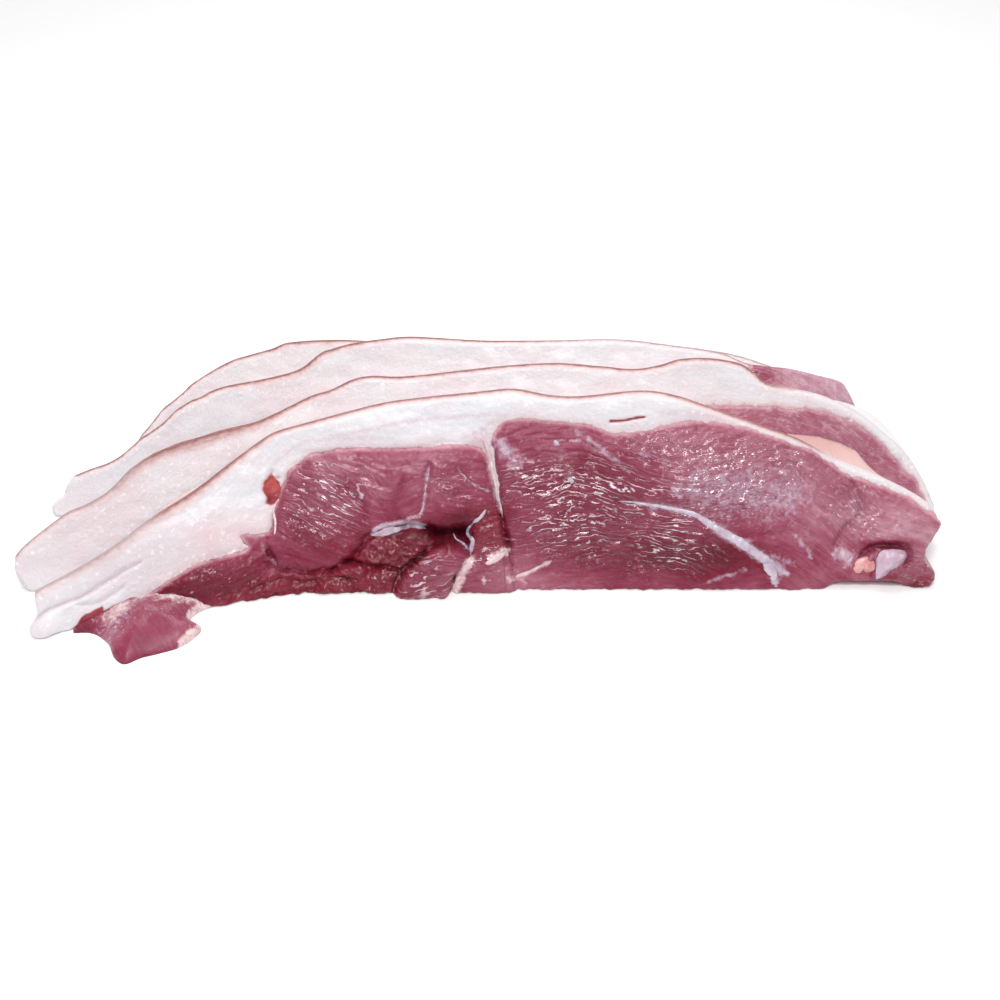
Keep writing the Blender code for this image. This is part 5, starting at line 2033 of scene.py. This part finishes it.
@dataclass(frozen=True)
class Strands:
    """Cords and strips of tissue that follow paths over the first cut face."""

    sides: int = 12
    flatness: float = 0.36
    step: float = 0.35
    ruffle: float = 0.5
    cream_ruffle: float = 0.15
    ruffle_scale: float = 480.0
    sunk: float = 0.12
    end_taper: float = 14.0

    def tree(self) -> NodeSetup:
        """The node tree that turns paths into flattened cords.

        Returns:
            The tree with its named inputs.
        """
        setup = NodeSetup("Strands over the cut")
        for name, kind in (("Material", "NodeSocketMaterial"), ("Sides", "NodeSocketInt"),
                           ("Flatness", "NodeSocketFloat"), ("Ruffle", "NodeSocketFloat"),
                           ("Ruffle scale", "NodeSocketFloat")):
            setup.input(name, kind)
        graph, given = setup.graph, setup.given
        width = graph.add("GeometryNodeInputNamedAttribute", {"Name": "half_width"})
        curve = graph.add("GeometryNodeMeshToCurve", {0: given.outputs["Geometry"]})
        upright = graph.add("GeometryNodeSetCurveNormal", {0: curve.outputs[0]})
        upright.mode = 'FREE'
        graph.tree.links.new(graph.add("FunctionNodeInputVector", vector=self.facing()).outputs[0],
                             upright.inputs["Normal"])
        ring = graph.add("GeometryNodeCurvePrimitiveCircle", {
            "Resolution": given.outputs["Sides"], "Radius": 1.0})
        size = graph.add("ShaderNodeCombineXYZ", {0: given.outputs["Flatness"], 1: 1.0, 2: 1.0})
        flat = graph.add("GeometryNodeTransform", {0: ring.outputs[0], "Scale": size.outputs[0]})
        body = graph.add("GeometryNodeCurveToMesh", {
            0: upright.outputs[0], 1: flat.outputs[0], "Scale": width.outputs[0], "Fill Caps": True})
        setup.finish(setup.ruffled(body.outputs[0]))
        return setup

    @staticmethod
    def facing() -> tuple[float, float, float]:
        """The way the first cut face looks."""
        return (0.0, -math.cos(DRAWING.lean), math.sin(DRAWING.lean))

    def seed(self, strands: Sequence[Strand],
             relief: Callable[[np.ndarray], np.ndarray]) -> bpy.types.Mesh:
        """The paths laid on the cut face, with a half width at each point.

        Args:
            strands: the paths and their widths.
            relief: how far the cut face stands forward at each corner.

        Returns:
            A mesh of edges.
        """
        places, widths, edges = [], [], []
        for strand in strands:
            line = smooth_curve(strand.path, self.step)
            share = np.linspace(0, 1, len(line))
            width = np.interp(share, np.linspace(0, 1, len(strand.widths)), strand.widths)
            taper = np.clip(np.minimum(share, 1 - share) * self.end_taper, 0.02, 1)
            width = width * np.sqrt(taper)
            forward = relief(line) + strand.proud - self.sunk * width
            start = sum(len(part) for part in places)
            places.append(DRAWING.place(0, line, 0 * share, forward))
            widths.append(width * MM)
            edges += [(start + i, start + i + 1) for i in range(len(line) - 1)]
        mesh = bpy.data.meshes.new("paths")
        mesh.from_pydata(np.vstack(places).tolist(), edges, [])
        layer = mesh.attributes.new("half_width", 'FLOAT', 'POINT')
        layer.data.foreach_set("value", np.concatenate(widths).astype(np.float32))
        return mesh

    def build(self, relief: Callable[[np.ndarray], np.ndarray], silver: bpy.types.Material,
              cream: bpy.types.Material, coral: bpy.types.Material) -> list[bpy.types.Object]:
        """Build the silvery and the creamy strands and the lump by the cartilage.

        Args:
            relief: how far the cut face stands forward at each corner.
            silver: finish of the silvery tissue.
            cream: finish of the fatty tissue.
            coral: finish of the lump.

        Returns:
            The three pieces.
        """
        setup = self.tree()
        pieces = []
        for name, strands, material, slot, ruffle in (
                ("front_silver_skin", SILVER, silver, Slots.CARTILAGE, self.ruffle),
                ("front_fatty_strands", CREAM, cream, Slots.FAT, self.cream_ruffle),
                ("front_knuckle_lump", KNUCKLE, coral, Slots.LEAN, self.ruffle)):
            piece = setup.grown(name, self.seed(strands, relief), {
                "Material": material, "Sides": self.sides, "Flatness": self.flatness,
                "Ruffle": ruffle * MM, "Ruffle scale": self.ruffle_scale})
            pieces.append(finished(piece, material, slot))
        return pieces


# ------------------------------------------------------------------- the studio
@dataclass(frozen=True)
class Lamp:
    """A soft lamp that looks at the meat from a direction and a distance."""

    name: str
    azimuth: float
    elevation: float
    distance: float
    size: float
    power: float

    def build(self) -> bpy.types.Object:
        """The lamp in the scene.

        Returns:
            The lamp's object.
        """
        data = bpy.data.lights.new(self.name, 'AREA')
        data.shape = 'DISK'
        data.size = self.size
        data.energy = self.power
        lamp = bpy.data.objects.new(self.name, data)
        a, e = math.radians(self.azimuth), math.radians(self.elevation)
        out = Vector((math.sin(a) * math.cos(e), -math.cos(a) * math.cos(e), math.sin(e)))
        lamp.location = out * self.distance
        lamp.rotation_euler = out.to_track_quat('Z', 'Y').to_euler()
        bpy.context.scene.collection.objects.link(lamp)
        return lamp


@dataclass
class Studio:
    """The pale floor, the soft lamps and the camera of the photograph."""

    floor_size: float = 6.0
    world: float = 0.355
    camera_mm: tuple[float, float, float] = (0.0, -295.1, 273.3)
    pitch: float = 38.0
    focal_pixels: float = 1072.0
    lamps: tuple[Lamp, ...] = (
        Lamp("Key", -20.0, 66.0, 1.1, 0.3, 4.3),
        Lamp("Second", 30.0, 72.0, 1.2, 0.24, 2.7),
        Lamp("Front", 6.0, 50.0, 1.2, 0.16, 1.4),
        Lamp("Back", 178.0, 58.0, 1.9, 1.6, 19.0),
    )

    def build(self) -> None:
        """Set up the floor, the light and the camera."""
        scene = bpy.context.scene
        scene.view_settings.view_transform = 'Standard'
        half = self.floor_size / 2
        mesh = bpy.data.meshes.new("floor")
        corners = [(-half, -half, 0), (half, -half, 0), (half, half, 0), (-half, half, 0)]
        mesh.from_pydata(corners, [], [(0, 1, 2, 3)])
        floor = bpy.data.objects.new("floor", mesh)
        scene.collection.objects.link(floor)
        mesh.materials.append(FloorFinish().material())
        for lamp in self.lamps:
            lamp.build()
        world = bpy.data.worlds.new("Studio air")
        scene.world = world
        world.use_nodes = True
        graph = Graph(world.node_tree)
        air = graph.add("ShaderNodeBackground", {"Color": (1.0, 1.0, 1.0, 1.0),
                                                 "Strength": self.world})
        graph.add("ShaderNodeOutputWorld", {"Surface": air.outputs[0]})
        data = bpy.data.cameras.new("Camera")
        camera = bpy.data.objects.new("Camera", data)
        scene.collection.objects.link(camera)
        data.sensor_width = 36.0
        data.lens = self.focal_pixels * data.sensor_width / 1000
        x, y, z = self.camera_mm
        camera.location = Vector((x - DRAWING.middle[0], y - DRAWING.middle[1], z)) * MM
        camera.rotation_euler = (math.radians(90 - self.pitch), 0, 0)
        scene.camera = camera


def main() -> None:
    """Build the pieces in order and set up the studio."""
    logging.basicConfig(level=logging.INFO, format="%(name)s: %(message)s")
    lean = LeanFinish(WetFilm().group()).material()
    fat = FatFinish().material()
    cartilage = MembraneFinish("Cartilage", srgb(214, 192, 208), srgb(196, 162, 182)).material()
    silver = MembraneFinish("Silver skin", srgb(214, 202, 216), srgb(188, 162, 182)).material()
    cream = MembraneFinish("Fatty strands", srgb(238, 214, 216), srgb(216, 176, 182)).material()
    coral = MembraneFinish("Knuckle flesh", srgb(236, 184, 178), srgb(208, 128, 124)).material()
    first = FirstSlice()
    first.build(fat, lean, cartilage)
    Strands().build(first.relief, silver, cream, coral)
    for number in (1, 2, 3):
        BackSlice(number).build(fat, lean)
    Flap().build(lean)
    Studio().build()
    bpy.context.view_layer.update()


if __name__ == "__main__":
    main()
